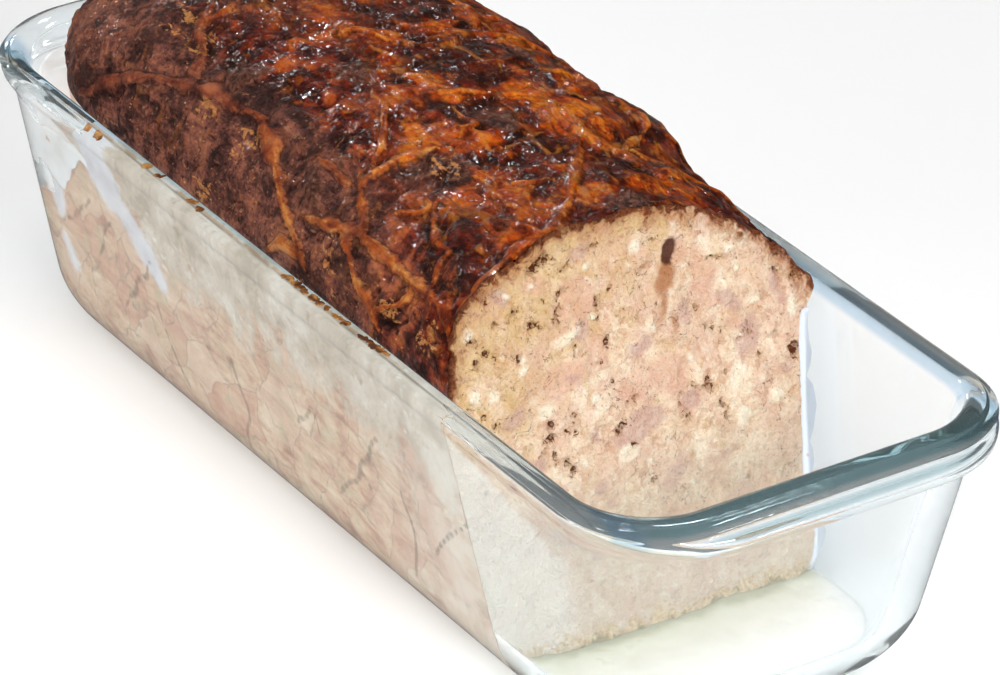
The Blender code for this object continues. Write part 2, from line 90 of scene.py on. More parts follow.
# Strands of the lacy fat baked into the crust: the half width in millimetres, then a path of
# (millimetres from the far end, turn), where turn is -1 at the glass on the left, 0 in the
# middle of the dome and 1 at the glass on the right.
STRANDS = (
    (1.8, (34, -0.94), (55, -0.79), (78, -0.62), (101, -0.60)),
    (2.7, (101, -0.60), (110, -0.63), (118, -0.69)),
    (1.7, (118, -0.69), (134, -0.84), (140, -0.95)),
    (0.9, (59, -0.41), (67, -0.41), (65, -0.27)),
    (1.1, (127, -0.57), (139, -0.60), (144, -0.57)),
    (1.6, (145, -0.37), (145, -0.50), (144, -0.57), (152, -0.67)),
    (1.2, (143, -0.48), (132, -0.32), (120, -0.22)),
    (1.9, (140, -0.51), (148, -0.61), (158, -0.71)),
    (1.5, (134, -0.77), (147, -0.73), (157, -0.70)),
    (1.2, (147, -0.73), (155, -0.74), (158, -0.80)),
    (1.9, (158, -0.80), (164, -0.86), (170, -0.97)),
    (1.7, (158, -0.70), (175, -0.71), (184, -0.68), (195, -0.73), (197, -0.83)),
    (1.2, (175, -0.71), (177, -0.76), (168, -0.91)),
    (1.7, (167, -0.46), (173, -0.51), (182, -0.56)),
    (1.3, (182, -0.56), (182, -0.61), (184, -0.68)),
    (1.2, (160, -0.55), (167, -0.46), (162, -0.44)),
    (1.6, (197, -0.76), (196, -0.60), (196, -0.41), (196, -0.29)),
    (1.1, (183, -0.36), (191, -0.27), (196, -0.26)),
    (1.4, (121, -0.97), (129, -0.90), (138, -0.88)),
    (1.5, (191, -0.15), (196, -0.25)),
    (1.3, (90, -0.09), (98, 0.00), (108, 0.07), (109, 0.15), (106, 0.25)),
    (1.3, (130, -0.12), (135, 0.08), (139, 0.23), (147, 0.24)),
    (1.5, (145, -0.46), (146, -0.34), (150, -0.24)),
    (1.4, (147, 0.24), (157, 0.22), (166, 0.34), (171, 0.40), (184, 0.40)),
    (1.7, (159, 0.24), (170, 0.14), (179, 0.03), (186, -0.05), (196, -0.23)),
    (1.0, (172, -0.20), (176, -0.08), (181, -0.02)),
    (1.2, (186, -0.05), (197, 0.03)),
    (1.0, (145, -0.18), (148, -0.07), (144, -0.10), (138, -0.11)),
    (1.5, (106, 0.10), (103, 0.36), (112, 0.60), (108, 0.88)),
    (1.3, (60, -0.30), (52, 0.05), (58, 0.34), (80, 0.48), (103, 0.36)),
    (1.2, (52, 0.05), (34, 0.10), (18, -0.15)),
    (1.3, (80, 0.48), (76, 0.70), (84, 0.92)),
    (1.3, (58, 0.34), (40, 0.58), (33, 0.86)),
    (1.4, (112, 0.60), (134, 0.52), (152, 0.62), (166, 0.40)),
    (1.5, (166, 0.40), (176, 0.62), (181, 0.85)),
    (1.3, (60, -0.30), (63, -0.42), (78, -0.62)),
)
# Patches of the crust, as (millimetres from the far end, turn, half width in millimetres).
CHARRED = (
    (134, -0.675, 5.5), (153, -0.335, 5.0), (161, -0.275, 4.0), (185, -0.33, 3.5), (89, -0.50, 5.0),
    (195, 0.12, 5.5), (153, -0.76, 3.5), (119, 0.39, 6.0), (148, 0.01, 5.0), (75, 0.20, 6.0),
    (60, 0.62, 6.0), (140, 0.74, 5.0), (95, 0.66, 5.0), (172, 0.52, 4.5), (108, -0.20, 4.5),
)  # fmt: skip
TAWNY = (
    (87, -0.68, 2.6), (105, -0.68, 3.0), (148, -0.82, 3.0), (188, -0.83, 3.4), (156, -0.29, 3.0),
    (61, -0.45, 3.4), (92, -0.97, 3.0), (172, -0.88, 3.0), (44, -0.30, 3.0), (70, -0.52, 2.6),
)  # fmt: skip

# Features of the cut, as (y, z, half width, half height, tilt in degrees) in millimetres.
CREAM = (
    (25.1, 54.8, 2.3, 3.1, -20), (25.8, 45.2, 2.6, 2.2, 10), (3.9, 71.3, 1.6, 2.0, 0),
    (-18.3, 74.3, 4.2, 1.6, 22), (-6.2, 45.3, 2.9, 2.3, 35), (42.3, 66.4, 1.6, 2.6, -15),
    (34.8, 47.3, 2.2, 1.7, 0), (39.3, 79.2, 2.2, 1.3, 10), (2.5, 89.6, 1.5, 1.9, 0),
    (27.0, 83.0, 1.6, 1.2, 30), (-42.2, 81.4, 1.3, 1.6, 0), (-11.4, 63.2, 2.2, 1.2, 30),
    (-26.1, 60.0, 3.0, 1.6, 40), (-43.2, 68.0, 1.5, 2.0, 20), (-38.7, 66.8, 1.6, 1.6, 0),
    (-10.0, 88.4, 1.4, 1.1, 0), (31.1, 84.2, 1.7, 2.2, 0), (19.8, 86.4, 1.3, 1.0, 0),
    (-10.2, 77.0, 1.2, 0.9, 0), (32.5, 70.6, 1.7, 1.2, 0), (38.0, 88.0, 1.2, 1.8, 20),
    (14.0, 62.0, 0.9, 1.8, -30), (-30.0, 70.5, 1.6, 1.2, 0), (29.0, 78.5, 1.3, 1.0, 0),
)  # fmt: skip
PINK = (
    (26.4, 66.7, 3.2, 2.4, 0), (24.7, 91.0, 3.4, 2.0, 20), (-14.0, 84.0, 4.5, 4.0, 10),
    (20.0, 78.0, 5.0, 3.4, 60), (-20.0, 66.0, 7.0, 4.0, 20), (8.0, 60.0, 6.0, 5.0, 0),
)  # fmt: skip
MAUVE = (
    (0.7, 67.4, 4.6, 1.7, 18), (25.8, 71.5, 4.6, 2.0, -42), (38.3, 72.1, 1.8, 4.2, 10),
    (19.2, 38.2, 5.4, 0.9, 14), (5.3, 37.0, 6.2, 2.2, 42), (-2.1, 50.5, 8.0, 3.4, 14),
    (11.8, 52.4, 3.6, 2.4, 30), (-33.9, 60.3, 3.4, 2.0, 20), (13.5, 72.0, 2.0, 3.0, 0),
    (29.4, 62.0, 3.2, 5.0, -30), (-12.0, 92.0, 4.2, 1.6, 30), (40.0, 80.0, 2.4, 3.6, 20),
    (-30.0, 48.0, 4.0, 1.8, 20), (22.0, 28.0, 6.0, 2.4, 20), (-20.0, 32.0, 7.0, 3.0, -15),
)  # fmt: skip
PITS = (
    (-22.9, 92.0, 3.8, 1.3, 18), (-17.6, 84.2, 1.6, 0.6, 30), (-9.0, 79.7, 1.2, 1.3, 0),
    (-8.3, 92.0, 2.4, 0.5, -10), (-5.1, 82.5, 0.5, 1.4, 15), (-25.7, 79.4, 1.8, 0.9, -20),
    (-27.3, 78.0, 0.8, 1.1, 0), (-35.7, 81.6, 0.9, 1.2, 0), (-38.6, 76.6, 1.0, 0.9, 0),
    (-41.4, 74.0, 1.0, 1.2, 0), (-41.8, 79.6, 1.0, 0.7, 0), (-7.8, 70.8, 1.2, 1.5, -20),
    (4.2, 84.7, 1.6, 0.5, 20), (23.4, 81.9, 3.0, 0.45, -12), (4.8, 72.2, 0.5, 0.6, 0),
    (17.1, 71.9, 0.5, 1.2, 0), (20.3, 66.5, 1.6, 0.4, -40), (17.0, 55.4, 1.4, 1.8, -20),
    (18.2, 53.2, 1.0, 1.3, -20), (20.1, 49.2, 0.7, 1.8, 35), (21.3, 46.0, 0.7, 1.4, 30),
    (9.0, 52.0, 0.5, 1.8, 10), (10.6, 48.6, 0.7, 1.6, 20), (-25.4, 56.2, 0.9, 1.6, -25),
    (-25.6, 53.6, 1.7, 1.2, 0), (-27.2, 51.4, 1.4, 0.7, 30), (-25.0, 49.6, 0.8, 1.6, 0),
    (-21.9, 47.4, 0.9, 0.9, 0), (-20.8, 45.0, 1.3, 1.1, 20), (-21.0, 54.4, 1.6, 0.4, 20),
    (-4.7, 47.0, 1.1, 0.8, -20), (-2.5, 56.7, 0.8, 0.9, 0), (-7.4, 51.3, 0.8, 1.4, -35),
    (-18.6, 53.0, 0.6, 0.8, 0), (12.9, 55.5, 1.0, 0.4, 0), (43.4, 72.6, 0.9, 1.2, 0),
    (41.0, 55.8, 1.5, 1.9, 10), (37.0, 61.0, 0.8, 0.8, 0), (-0.5, 37.5, 0.9, 0.7, 40),
    (25.3, 31.2, 0.6, 0.7, 0), (-19.2, 80.8, 0.6, 1.6, -20), (-31.0, 73.0, 0.8, 0.7, 0),
    (-16.0, 90.0, 1.8, 0.6, 30), (-30.5, 83.5, 1.2, 0.7, 20), (38.6, 74.6, 0.7, 1.4, 20),
)  # fmt: skip
SPOT = ((11.4, 86.0, 2.0, 3.1, -12),)  # one dark brown spot, and the streak that runs down from it
STREAK = ((9.8, 81.0, 2.3, 4.2, -22), (8.6, 75.6, 0.8, 3.6, -18), (10.6, 70.4, 0.5, 1.6, 0))

# Marks on the loaf's left side, seen through the glass, as paths of (x, z) in millimetres.
FAT_SEAM = (
    (6.5, (-92, 70), (-86, 62), (-80, 56)),
    (3.6, (-80, 56), (-70, 48), (-59, 40)),
    (2.4, (-112, 58), (-109, 48), (-107, 37)),
    (1.4, (-106, 28), (-102, 23)),
)
CRACKS = (
    (0.55, (-80, 46), (-86, 36), (-95, 24)),
    (0.40, (-61, 42), (-74, 29), (-80, 17)),
    (0.40, (-63, 31), (-56, 20), (-52, 14)),
    (0.45, (2, 31), (8, 40), (12, 33)),
    (0.50, (20, 22), (29, 32), (38, 46)),
    (0.35, (29, 32), (33, 27)),
    (0.50, (60, 26), (71, 39), (77, 47)),
    (0.40, (-28, 34), (-22, 22), (-24, 12)),
    (0.40, (-108, 32), (-97, 40), (-90, 47)),
    (0.40, (46, 36), (52, 24), (49, 14)),
)
MILKY_EDGE = ((-118, 66), (-83, 59), (-61, 43), (-35, 43), (-10, 48), (15, 46), (42, 47), (80, 53))

# Mesh density.
CORNER_STATIONS, LENGTH_STATIONS = 40, 192
DOME_STEPS, SIDE_STEPS, FLOOR_STEPS = 168, 52, 20
FACE_SPACING, FAR_SPACING = 0.56 * MM, 2.5 * MM


# --- small helpers ----------------------------------------------------------------------


def smooth(low, high, value):
    """0 below low, 1 above high, and an even S between them."""
    t = np.clip((value - low) / (high - low), 0, 1)
    return t * t * (3 - 2 * t)


def mix(a, b, t):
    return a + (b - a) * t


def quarter(distance, radius=1):
    """0 at no distance and 1 from the radius on, along a quarter of an ellipse."""
    return np.sqrt(1 - (1 - np.clip(distance / radius, 0, 1)) ** 2)


def hashed(x, y, z, seed):
    """A repeatable number from 0 to 1 for each whole-numbered place."""
    n = (x * 374761393 + y * 668265263 + z * 1440662683 + seed * 1274126177) & 0xFFFFFFFF
    n = ((n ^ (n >> 15)) * 2246822519) & 0xFFFFFFFF
    n = ((n ^ (n >> 13)) * 3266489917) & 0xFFFFFFFF
    return ((n ^ (n >> 16)) & 0xFFFFFF) / 0xFFFFFF


def lattice_noise(points, size, seed=0):
    """Smooth noise from -1 to 1 at points of two or three coordinates."""
    place = np.asarray(points) / size
    if place.shape[-1] == 2:
        place = np.concatenate([place, np.zeros_like(place[..., :1])], axis=-1)
    cell = np.floor(place).astype(np.int64)
    part = place - cell
    part = part * part * part * (part * (part * 6 - 15) + 10)
    total = 0.0
    for corner in np.ndindex(2, 2, 2):
        weight = 1.0
        for axis in range(3):
            weight = weight * (part[..., axis] if corner[axis] else 1 - part[..., axis])
        x, y, z = (cell[..., axis] + corner[axis] for axis in range(3))
        total = total + weight * hashed(x, y, z, seed)
    return total * 2 - 1


def rough_noise(points, size, octaves, seed=0):
    """Noise with finer noise on it, from about -1 to 1."""
    total, height, reach = 0.0, 1.0, 0.0
    for octave in range(octaves):
        total = total + height * lattice_noise(points, size / 2**octave, seed + octave)
        reach += height
        height *= 0.5
    return total / reach * 1.5


def wander(points, size, seed):
    """Two smooth noises at once, to move points of a plane about."""
    return np.stack([lattice_noise(points, size, seed + i) for i in (0, 1)], axis=-1)


def mosaic(points, size, seed):
    """(distance to the nearest centre, to the nearest border, number of the cell) of uneven cells."""
    place = np.asarray(points) / size
    cell = np.floor(place).astype(np.int64)
    first, second, number = (np.full(place.shape[:-1], start) for start in (9.0, 9.0, 0.0))
    for step in np.ndindex(5, 5):
        x, y = np.moveaxis(cell + step, -1, 0) - 2
        centre_x, centre_y = (at + 0.15 + 0.7 * hashed(x, y, i, seed) for i, at in enumerate((x, y)))
        away = np.hypot(place[..., 0] - centre_x, place[..., 1] - centre_y)
        nearer = away < first
        second = np.where(nearer, first, np.minimum(second, away))
        number = np.where(nearer, hashed(x, y, 2, seed), number)
        first = np.where(nearer, away, first)
    return first * size, (second - first) / 2 * size, number


def along_path(x, y, path):
    """(distance to a path of straight pieces, the same with a sign for the side, length along it)."""
    nearest, side, along = (np.full(np.shape(x), start) for start in (np.inf, 0.0, 0.0))
    done = 0.0
    for (x0, y0), (x1, y1) in zip(path, path[1:]):
        step_x, step_y = x1 - x0, y1 - y0
        length = math.hypot(step_x, step_y)
        t = np.clip(((x - x0) * step_x + (y - y0) * step_y) / length**2, 0, 1)
        away_x, away_y = x - x0 - t * step_x, y - y0 - t * step_y
        away = np.hypot(away_x, away_y)
        nearer = away < nearest
        side = np.where(nearer, away * np.sign(step_x * away_y - step_y * away_x), side)
        along = np.where(nearer, done + t * length, along)
        nearest = np.where(nearer, away, nearest)
        done += length
    return nearest, side, along


def distance_to_path(x, y, path):
    return along_path(x, y, path)[0]


def rounded_path(path):
    """The path with its corners cut twice, so that it curves."""
    for _ in range(2):
        sides = [(a, b, t) for a, b in zip(path, path[1:]) for t in (0.25, 0.75)]
        path = [path[0], *(tuple(mix(p, q, t) for p, q in zip(a, b)) for a, b, t in sides), path[-1]]
    return path


def inside_ellipses(y, z, ellipses, most=3.0):
    """How far points are inside the nearest ellipse, in millimetres, and less than 0 outside."""
    deepest = np.full(np.shape(y), -most)
    for centre_y, centre_z, half_y, half_z, tilt in ellipses:
        turn = math.radians(tilt)
        off_y, off_z = y / MM - centre_y, z / MM - centre_z
        along = off_y * math.cos(turn) + off_z * math.sin(turn)
        across = off_z * math.cos(turn) - off_y * math.sin(turn)
        depth = (1 - np.hypot(along / half_y, across / half_z)) * min(half_y, half_z)
        deepest = np.maximum(deepest, depth)
    return deepest


# --- the inside and outside of the dish -------------------------------------------------


def body_outline(z):
    """(half_x, half_y, corner) of the dish's outer wall at a height, without the base fillet."""
    t = z / RIM_Z
    return mix(BASE_HALF_X, TOP_HALF_X, t), mix(BASE_HALF_Y, TOP_HALF_Y, t), mix(BASE_CORNER, TOP_CORNER, t)


def shrunk(outline, inset):
    """An outline further in, with its corners a little less round."""
    return tuple(side - inset * share for side, share in zip(outline, (1, 1, 0.6)))


def cavity_outline(z):
    """(half_x, half_y, corner) of the inside of the dish at a height, with its floor fillet."""
    floor_inset = INNER_FILLET * (1 - quarter(np.maximum(z - FLOOR_Z, 0.0), INNER_FILLET))
    return shrunk(body_outline(z), WALL + floor_inset)


def fit_into_dish(points, into=INTO_GLASS):
    """The points, with those that lie past the dish's inside brought back into its wall's skin."""
    x, y, z = np.moveaxis(np.asarray(points, float), -1, 0)
    z = np.maximum(z, FLOOR_Z - into)
    half_x, half_y, corner = (side + into for side in cavity_outline(z))
    over_x, over_y = np.abs(x) - (half_x - corner), np.abs(y) - (half_y - corner)
    reach = np.maximum(np.hypot(over_x, over_y), 1e-9)
    in_corner = (over_x > 0) & (over_y > 0)
    pull = np.where(in_corner & (reach > corner), corner / reach, 1.0)
    moved = []
    for at, half, over in ((x, half_x, over_x), (y, half_y, over_y)):
        inside = np.where(in_corner, half - corner + over * pull, np.minimum(np.abs(at), half))
        moved.append(np.where(z < RIM_Z, np.sign(at) * inside, at))
    return np.stack([*moved, z], axis=-1)


# --- meshes -----------------------------------------------------------------------------


def ring_quads(ring_count, ring_size, first=0):
    """Quads between neighbouring closed rings of equal size."""
    ring, i = np.meshgrid(np.arange(ring_count - 1), np.arange(ring_size), indexing="ij")
    ring, i = ring.ravel() * ring_size, i.ravel()
    after = (i + 1) % ring_size
    corners = (ring + i, ring + after, ring + ring_size + after, ring + ring_size + i)
    return np.stack(corners, axis=1) + first


def add_object(name, data):
    obj = bpy.data.objects.new(name, data)
    bpy.context.scene.collection.objects.link(obj)
    return obj


def new_piece(name, points, faces, materials, replaced, face_material=None):
    """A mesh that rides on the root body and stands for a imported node."""
    mesh = bpy.data.meshes.new(name)
    mesh.from_pydata(np.asarray(points).tolist(), [], [tuple(face) for face in faces])
    for material in materials:
        mesh.materials.append(material)
    if face_material is not None:
        mesh.polygons.foreach_set("material_index", face_material)
    mesh.validate()
    mesh.shade_smooth()
    obj = add_object(name, mesh)
    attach(obj, "root")
    if replaced:
        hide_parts(replaced)
    return obj


def add_field(obj, name, values):
    """One number for each point of a mesh, which a material can read by name."""
    layer = obj.data.attributes.new(name, "FLOAT", "POINT")
    layer.data.foreach_set("value", np.asarray(values, np.float32))


def point_outwards(obj):
    """Turns the faces of a closed mesh so that its volume is positive."""
    mesh = obj.data
    mesh.calc_loop_triangles()
    points, corners = np.empty(len(mesh.vertices) * 3), np.empty(len(mesh.loop_triangles) * 3, int)
    mesh.vertices.foreach_get("co", points)
    mesh.loop_triangles.foreach_get("vertices", corners)
    if np.linalg.det(points.reshape(-1, 3)[corners.reshape(-1, 3)]).sum() < 0:
        mesh.flip_normals()


def lofted(name, rings, material, replaced):
    """A closed piece over rings of equal size, with a flat face at each end."""
    size = len(rings[0])
    ends = [np.arange(size)[::-1], np.arange(size) + (len(rings) - 1) * size]
    faces = list(ring_quads(len(rings), size)) + ends
    obj = new_piece(name, np.concatenate(rings), faces, [material], replaced)
    point_outwards(obj)
    return obj


# --- materials --------------------------------------------------------------------------


def colour(code):
    """A linear colour from six hex digits."""
    parts = [int(code[i : i + 2], 16) / 255 for i in (0, 2, 4)]
    return tuple(p / 12.92 if p <= 0.04045 else ((p + 0.055) / 1.055) ** 2.4 for p in parts) + (1,)


class Nodes:
    """Short calls that add nodes to one new material. Sizes and places are in millimetres."""

    def __init__(self, name):
        self.material = bpy.data.materials.new(name)
        self.material.use_nodes = True
        self.tree = self.material.node_tree
        self.tree.nodes.clear()
        self.output = self.tree.nodes.new("ShaderNodeOutputMaterial")
        self.place = self.tree.nodes.new("ShaderNodeTexCoord").outputs["Object"]
        self.axes = self.add("ShaderNodeSeparateXYZ", {0: self.place}).outputs

    def add(self, kind, inputs=(), **settings):
        node = self.tree.nodes.new(kind)
        for key, value in settings.items():
            setattr(node, key, value)
        for key, value in dict(inputs).items():
            if isinstance(value, bpy.types.NodeSocket):
                self.tree.links.new(value, node.inputs[key])
            else:
                node.inputs[key].default_value = value
        return node

    def fields(self, names):
        """Sockets that read the mesh's fields of these names."""
        return [self.add("ShaderNodeAttribute", attribute_name=name).outputs["Fac"] for name in names.split()]

    def axis(self, name):
        return self.times(self.axes[name], 1 / MM)

    def noise(self, size, detail=4, roughness=0.55, distortion=0, place=None):
        inputs = {"Vector": place or self.place, "Scale": 1 / (size * MM), "Detail": detail}
        inputs.update({"Roughness": roughness, "Distortion": distortion})
        return self.add("ShaderNodeTexNoise", inputs).outputs["Fac"]

    def stretched_noise(self, sizes, turn, *settings):
        """Noise with a size along each axis, turned about Z by degrees."""
        inputs = {"Vector": self.place, "Scale": [1 / size for size in sizes]}
        inputs["Rotation"] = (0, 0, math.radians(turn))
        return self.noise(1, *settings, self.add("ShaderNodeMapping", inputs).outputs[0])

    def warped(self, size, reach):
        """The place moved about by noise."""
        waves = self.add("ShaderNodeTexNoise", {"Vector": self.place, "Scale": 1 / (size * MM), "Detail": 2})
        inputs = {0: waves.outputs["Color"], 1: (0.5, 0.5, 0.5)}
        centred = self.add("ShaderNodeVectorMath", inputs, operation="SUBTRACT")
        inputs = {0: centred.outputs[0], 1: (reach * MM,) * 3, 2: self.place}
        return self.add("ShaderNodeVectorMath", inputs, operation="MULTIPLY_ADD").outputs[0]

    def cells(self, size, warp, feature="F1", output="Distance"):
        """Cells of a size over the place warped by (size, reach)."""
        inputs = {"Vector": self.warped(*warp), "Scale": 1 / (size * MM)}
        return self.add("ShaderNodeTexVoronoi", inputs, feature=feature).outputs[output]

    def tones(self, size, warp):
        """Three chance numbers for each cell."""
        return self.add("ShaderNodeSeparateColor", {0: self.cells(size, warp, output="Color")}).outputs

    def spots(self, size, warp, inner, outer):
        """1 in the middle of each cell, fading to 0."""
        return self.step(self.cells(size, warp), inner, outer, 1, 0)

    def math(self, operation, a, b=0, c=0):
        return self.add("ShaderNodeMath", {0: a, 1: b, 2: c}, operation=operation).outputs[0]

    def times(self, product, *factors):
        for factor in factors:
            product = self.math("MULTIPLY", product, factor)
        return product

    def off(self, value, centre):
        """How far a value is from a centre, either way."""
        return self.math("ABSOLUTE", self.math("SUBTRACT", value, centre))

    def total(self, *terms):
        """The sum of (value, weight) pairs."""
        so_far = 0
        for value, weight in terms:
            so_far = self.math("MULTIPLY_ADD", value, weight, so_far)
        return so_far

    def step(self, value, low, high, to_low=0, to_high=1):
        """to_low below low, to_high above high, and an even S between them."""
        inputs = {0: value, 1: low, 2: high, 3: to_low, 4: to_high}
        return self.add("ShaderNodeMapRange", inputs, interpolation_type="SMOOTHSTEP").outputs[0]

    def ramp(self, value, *stops):
        """A colour for each value, from (value, six hex digits) stops."""
        node = self.add("ShaderNodeValToRGB", {0: value})
        elements = node.color_ramp.elements
        for number, (position, code) in enumerate(stops):
            stop = elements[number] if number < 2 else elements.new(position)
            stop.position, stop.color = position, colour(code)
        return node.outputs["Color"]

    def blend(self, share, under, over):
        """The colour over laid on the colour under by a share."""
        under, over = (colour(c) if isinstance(c, str) else c for c in (under, over))
        return self.add("ShaderNodeMix", {0: share, 6: under, 7: over}, data_type="RGBA").outputs[2]

    def lay(self, share, over):
        """A further colour laid on the material's own."""
        self.base = self.blend(share, self.base, over)

    def bump(self, height, distance, strength, **under):
        inputs = {"Height": height, "Distance": distance * MM, "Strength": strength, **under}
        return self.add("ShaderNodeBump", inputs).outputs[0]

    def surface(self, roughness, **inputs):
        """The main shader with the colours laid so far. Names of inputs have _ for a space."""
        inputs = {name.replace("_", " "): value for name, value in inputs.items()}
        inputs.update({"Base Color": self.base, "Roughness": roughness})
        return self.add("ShaderNodeBsdfPrincipled", inputs).outputs[0]

    def finish(self, shader, volume=None):
        self.tree.links.new(shader, self.output.inputs["Surface"])
        if volume is not None:
            self.tree.links.new(volume, self.output.inputs["Volume"])
        return self.material


def soft_depth(share, reach, size):
    """Inputs that let light into a surface: a share, a reach for each colour, a size in millimetres."""
    return {"Subsurface_Weight": share, "Subsurface_Radius": reach, "Subsurface_Scale": size * MM}


def crust_material():
    """Baked crust: dry purple-brown low on the left and far end, glazed mahogany and amber on top."""
    m = Nodes("baked_crust")
    strand, lane, run, lace, tone = m.fields("strand lane run lace tone")
    dry, amber, char, tawny, hollow = m.fields("dry amber char tawny hollow")
    fibres = m.stretched_noise((22, 4.2, 5.0), -10, 4, 0.5, 1.2)
    mottle = m.noise(8.0, 4, 0.52, 1.0)
    broad = m.noise(20, 2, 0.5, 0.8)
    grain = m.noise(1.6, 3, 0.6, 0.6)
    streaks = m.stretched_noise((7, 2.0, 2.4), 30, 4, 0.55, 1.0)

    glazed = m.ramp(
        m.total((mottle, 0.42), (fibres, 0.18), (broad, 0.22), (tone, 0.08), (grain, 0.10)),
        (0.40, "180604"), (0.445, "280a05"), (0.48, "3c0e06"),
        (0.515, "681f08"), (0.55, "8c380c"), (0.61, "ae5618"),
    )  # fmt: skip
    blobs = m.noise(13, 4, 0.5, 0.5)
    honey = m.ramp(
        m.total((blobs, 0.60), (fibres, 0.18), (broad, 0.04), (tone, 0.04), (grain, 0.14)),
        (0.40, "1c0602"), (0.45, "3a0f03"), (0.485, "601d04"),
        (0.52, "8a3105"), (0.56, "ad4a09"), (0.63, "cb7418"),
    )  # fmt: skip
    flow = m.stretched_noise((20, 9, 10), -15, 3, 0.5, 1.0)
    veins = m.step(m.off(flow, 0.5), 0.0, 0.035, 1.0, 0.0)
    veins = m.times(veins, m.step(blobs, 0.42, 0.56))
    tiny = m.noise(0.8, 3, 0.6, 0.4)
    dull = m.ramp(
        m.total((mottle, 0.34), (streaks, 0.04), (broad, 0.26), (tone, 0.04), (grain, 0.18), (tiny, 0.14)),
        (0.40, "261715"), (0.455, "402722"), (0.49, "58362e"), (0.52, "6e4236"), (0.58, "8c5843"),
    )  # fmt: skip
    honey = m.blend(m.times(veins, 0.75), honey, m.ramp(grain, (0.35, "a04a10"), (0.65, "c98232")))
    m.base = m.blend(amber, glazed, honey)
    red = m.step(m.noise(5, 2, 0.5, 1.0), 0.60, 0.68, 0.0, 0.5)
    m.lay(red, "6e1a0b")
    m.lay(m.times(dry, 0.95), dull)
    dark_patches = m.step(m.noise(7, 5, 0.6, 0.8, m.warped(9, 3)), 0.54, 0.61)
    dark_patches = m.times(dark_patches, m.step(amber, 0.0, 1.0, 0.65, 0.40))
    m.lay(dark_patches, m.blend(dry, "2c0d05", "35221d"))
    pale_patches = m.step(m.noise(4.5, 5, 0.62, 0.5), 0.57, 0.66)
    pale_patches = m.times(pale_patches, m.step(dry, 0.0, 1.0, 0.30, 0.40))
    m.lay(pale_patches, m.blend(dry, "b05a16", "8c5036"))
    # painted shade: the crust's creases and the feet of its pillows darkened
    m.lay(m.times(m.step(hollow, 0.3, 1.0), 0.7), "1a0805")

    specks = m.spots(1.5, (2, 2), 0.10, 0.26)
    specks = m.times(specks, m.step(m.noise(6, 3, 0.6), 0.48, 0.60))
    m.lay(m.times(specks, m.step(dry, 0.0, 1.0, 0.15, 0.65)), "a87850")
    dark_specks = m.step(m.noise(1.4, 3, 0.6, 0.3), 0.60, 0.68)
    m.lay(m.times(dark_specks, 0.55), "1a0a08")
    flecks = m.times(m.step(streaks, 0.60, 0.66), m.step(grain, 0.46, 0.56))
    m.lay(m.times(flecks, m.step(dry, 0.0, 1.0, 0.12, 0.35)), m.blend(dry, "b86c28", "a9775a"))

    net = m.step(m.total((lace, 1.0), (grain, 0.8), (mottle, 1.2)), 0.95, 1.5)
    net_colour = m.ramp(fibres, (0.42, "5e2208"), (0.5, "8c4412"), (0.58, "b8742c"))
    m.lay(m.times(net, m.step(dry, 0.0, 1.0, 0.45, 0.1)), net_colour)

    ragged_char = m.total((char, 1.0), (mottle, 3.0), (grain, 0.8), (1.0, -1.9))
    char_colour = m.ramp(grain, (0.4, "2a1510"), (0.65, "6a4436"))
    m.lay(m.step(ragged_char, 0.0, 0.4, 0.0, 0.9), char_colour)
    ragged_tawny = m.total((tawny, 0.8), (streaks, 8.0), (grain, 4.0), (1.0, -6.4))
    tawny_colour = m.ramp(grain, (0.35, "8a4a20"), (0.7, "c08a52"))
    m.lay(m.step(ragged_tawny, 0.0, 0.5, 0.0, 0.8), tawny_colour)

    cords = m.add("ShaderNodeCombineXYZ", {0: m.times(run, 0.11), 1: m.times(lane, 0.0006)})
    cords = m.noise(0.7, 2, 0.5, 0.4, cords.outputs[0])
    ragged = m.total((strand, 1.0), (grain, 0.8), (mottle, 1.8), (1.0, -1.35))
    band = m.ramp(
        m.total((cords, 0.35), (mottle, 0.25), (grain, 0.15), (broad, 0.25)),
        (0.40, "5c1e08"), (0.46, "8a380e"), (0.53, "b05c1c"), (0.60, "cf8f42"),
    )  # fmt: skip
    dull_band = m.ramp(
        m.total((cords, 0.4), (mottle, 0.4), (grain, 0.2)),
        (0.40, "44221a"), (0.50, "6c3626"), (0.60, "905238"),
    )  # fmt: skip
    far = m.step(m.axis("X"), -55, -20, 0.95, 0.5)
    band = m.blend(m.times(dry, far), band, dull_band)
    shadow = m.times(m.step(ragged, -0.5, -0.1), m.step(ragged, -0.1, 0.1, 1.0, 0.0))
    m.lay(m.times(shadow, 0.55), "150604")
    covered = m.times(m.step(ragged, -0.4, 0.8), m.step(amber, 0.2, 1.0, 0.95, 0.7))
    glazed_over = m.step(m.noise(7, 3, 0.55, 0.8), 0.40, 0.47, 0.35, 1.0)
    covered = m.times(covered, m.math("MAXIMUM", glazed_over, m.times(dry, 0.8)))
    m.lay(covered, band)

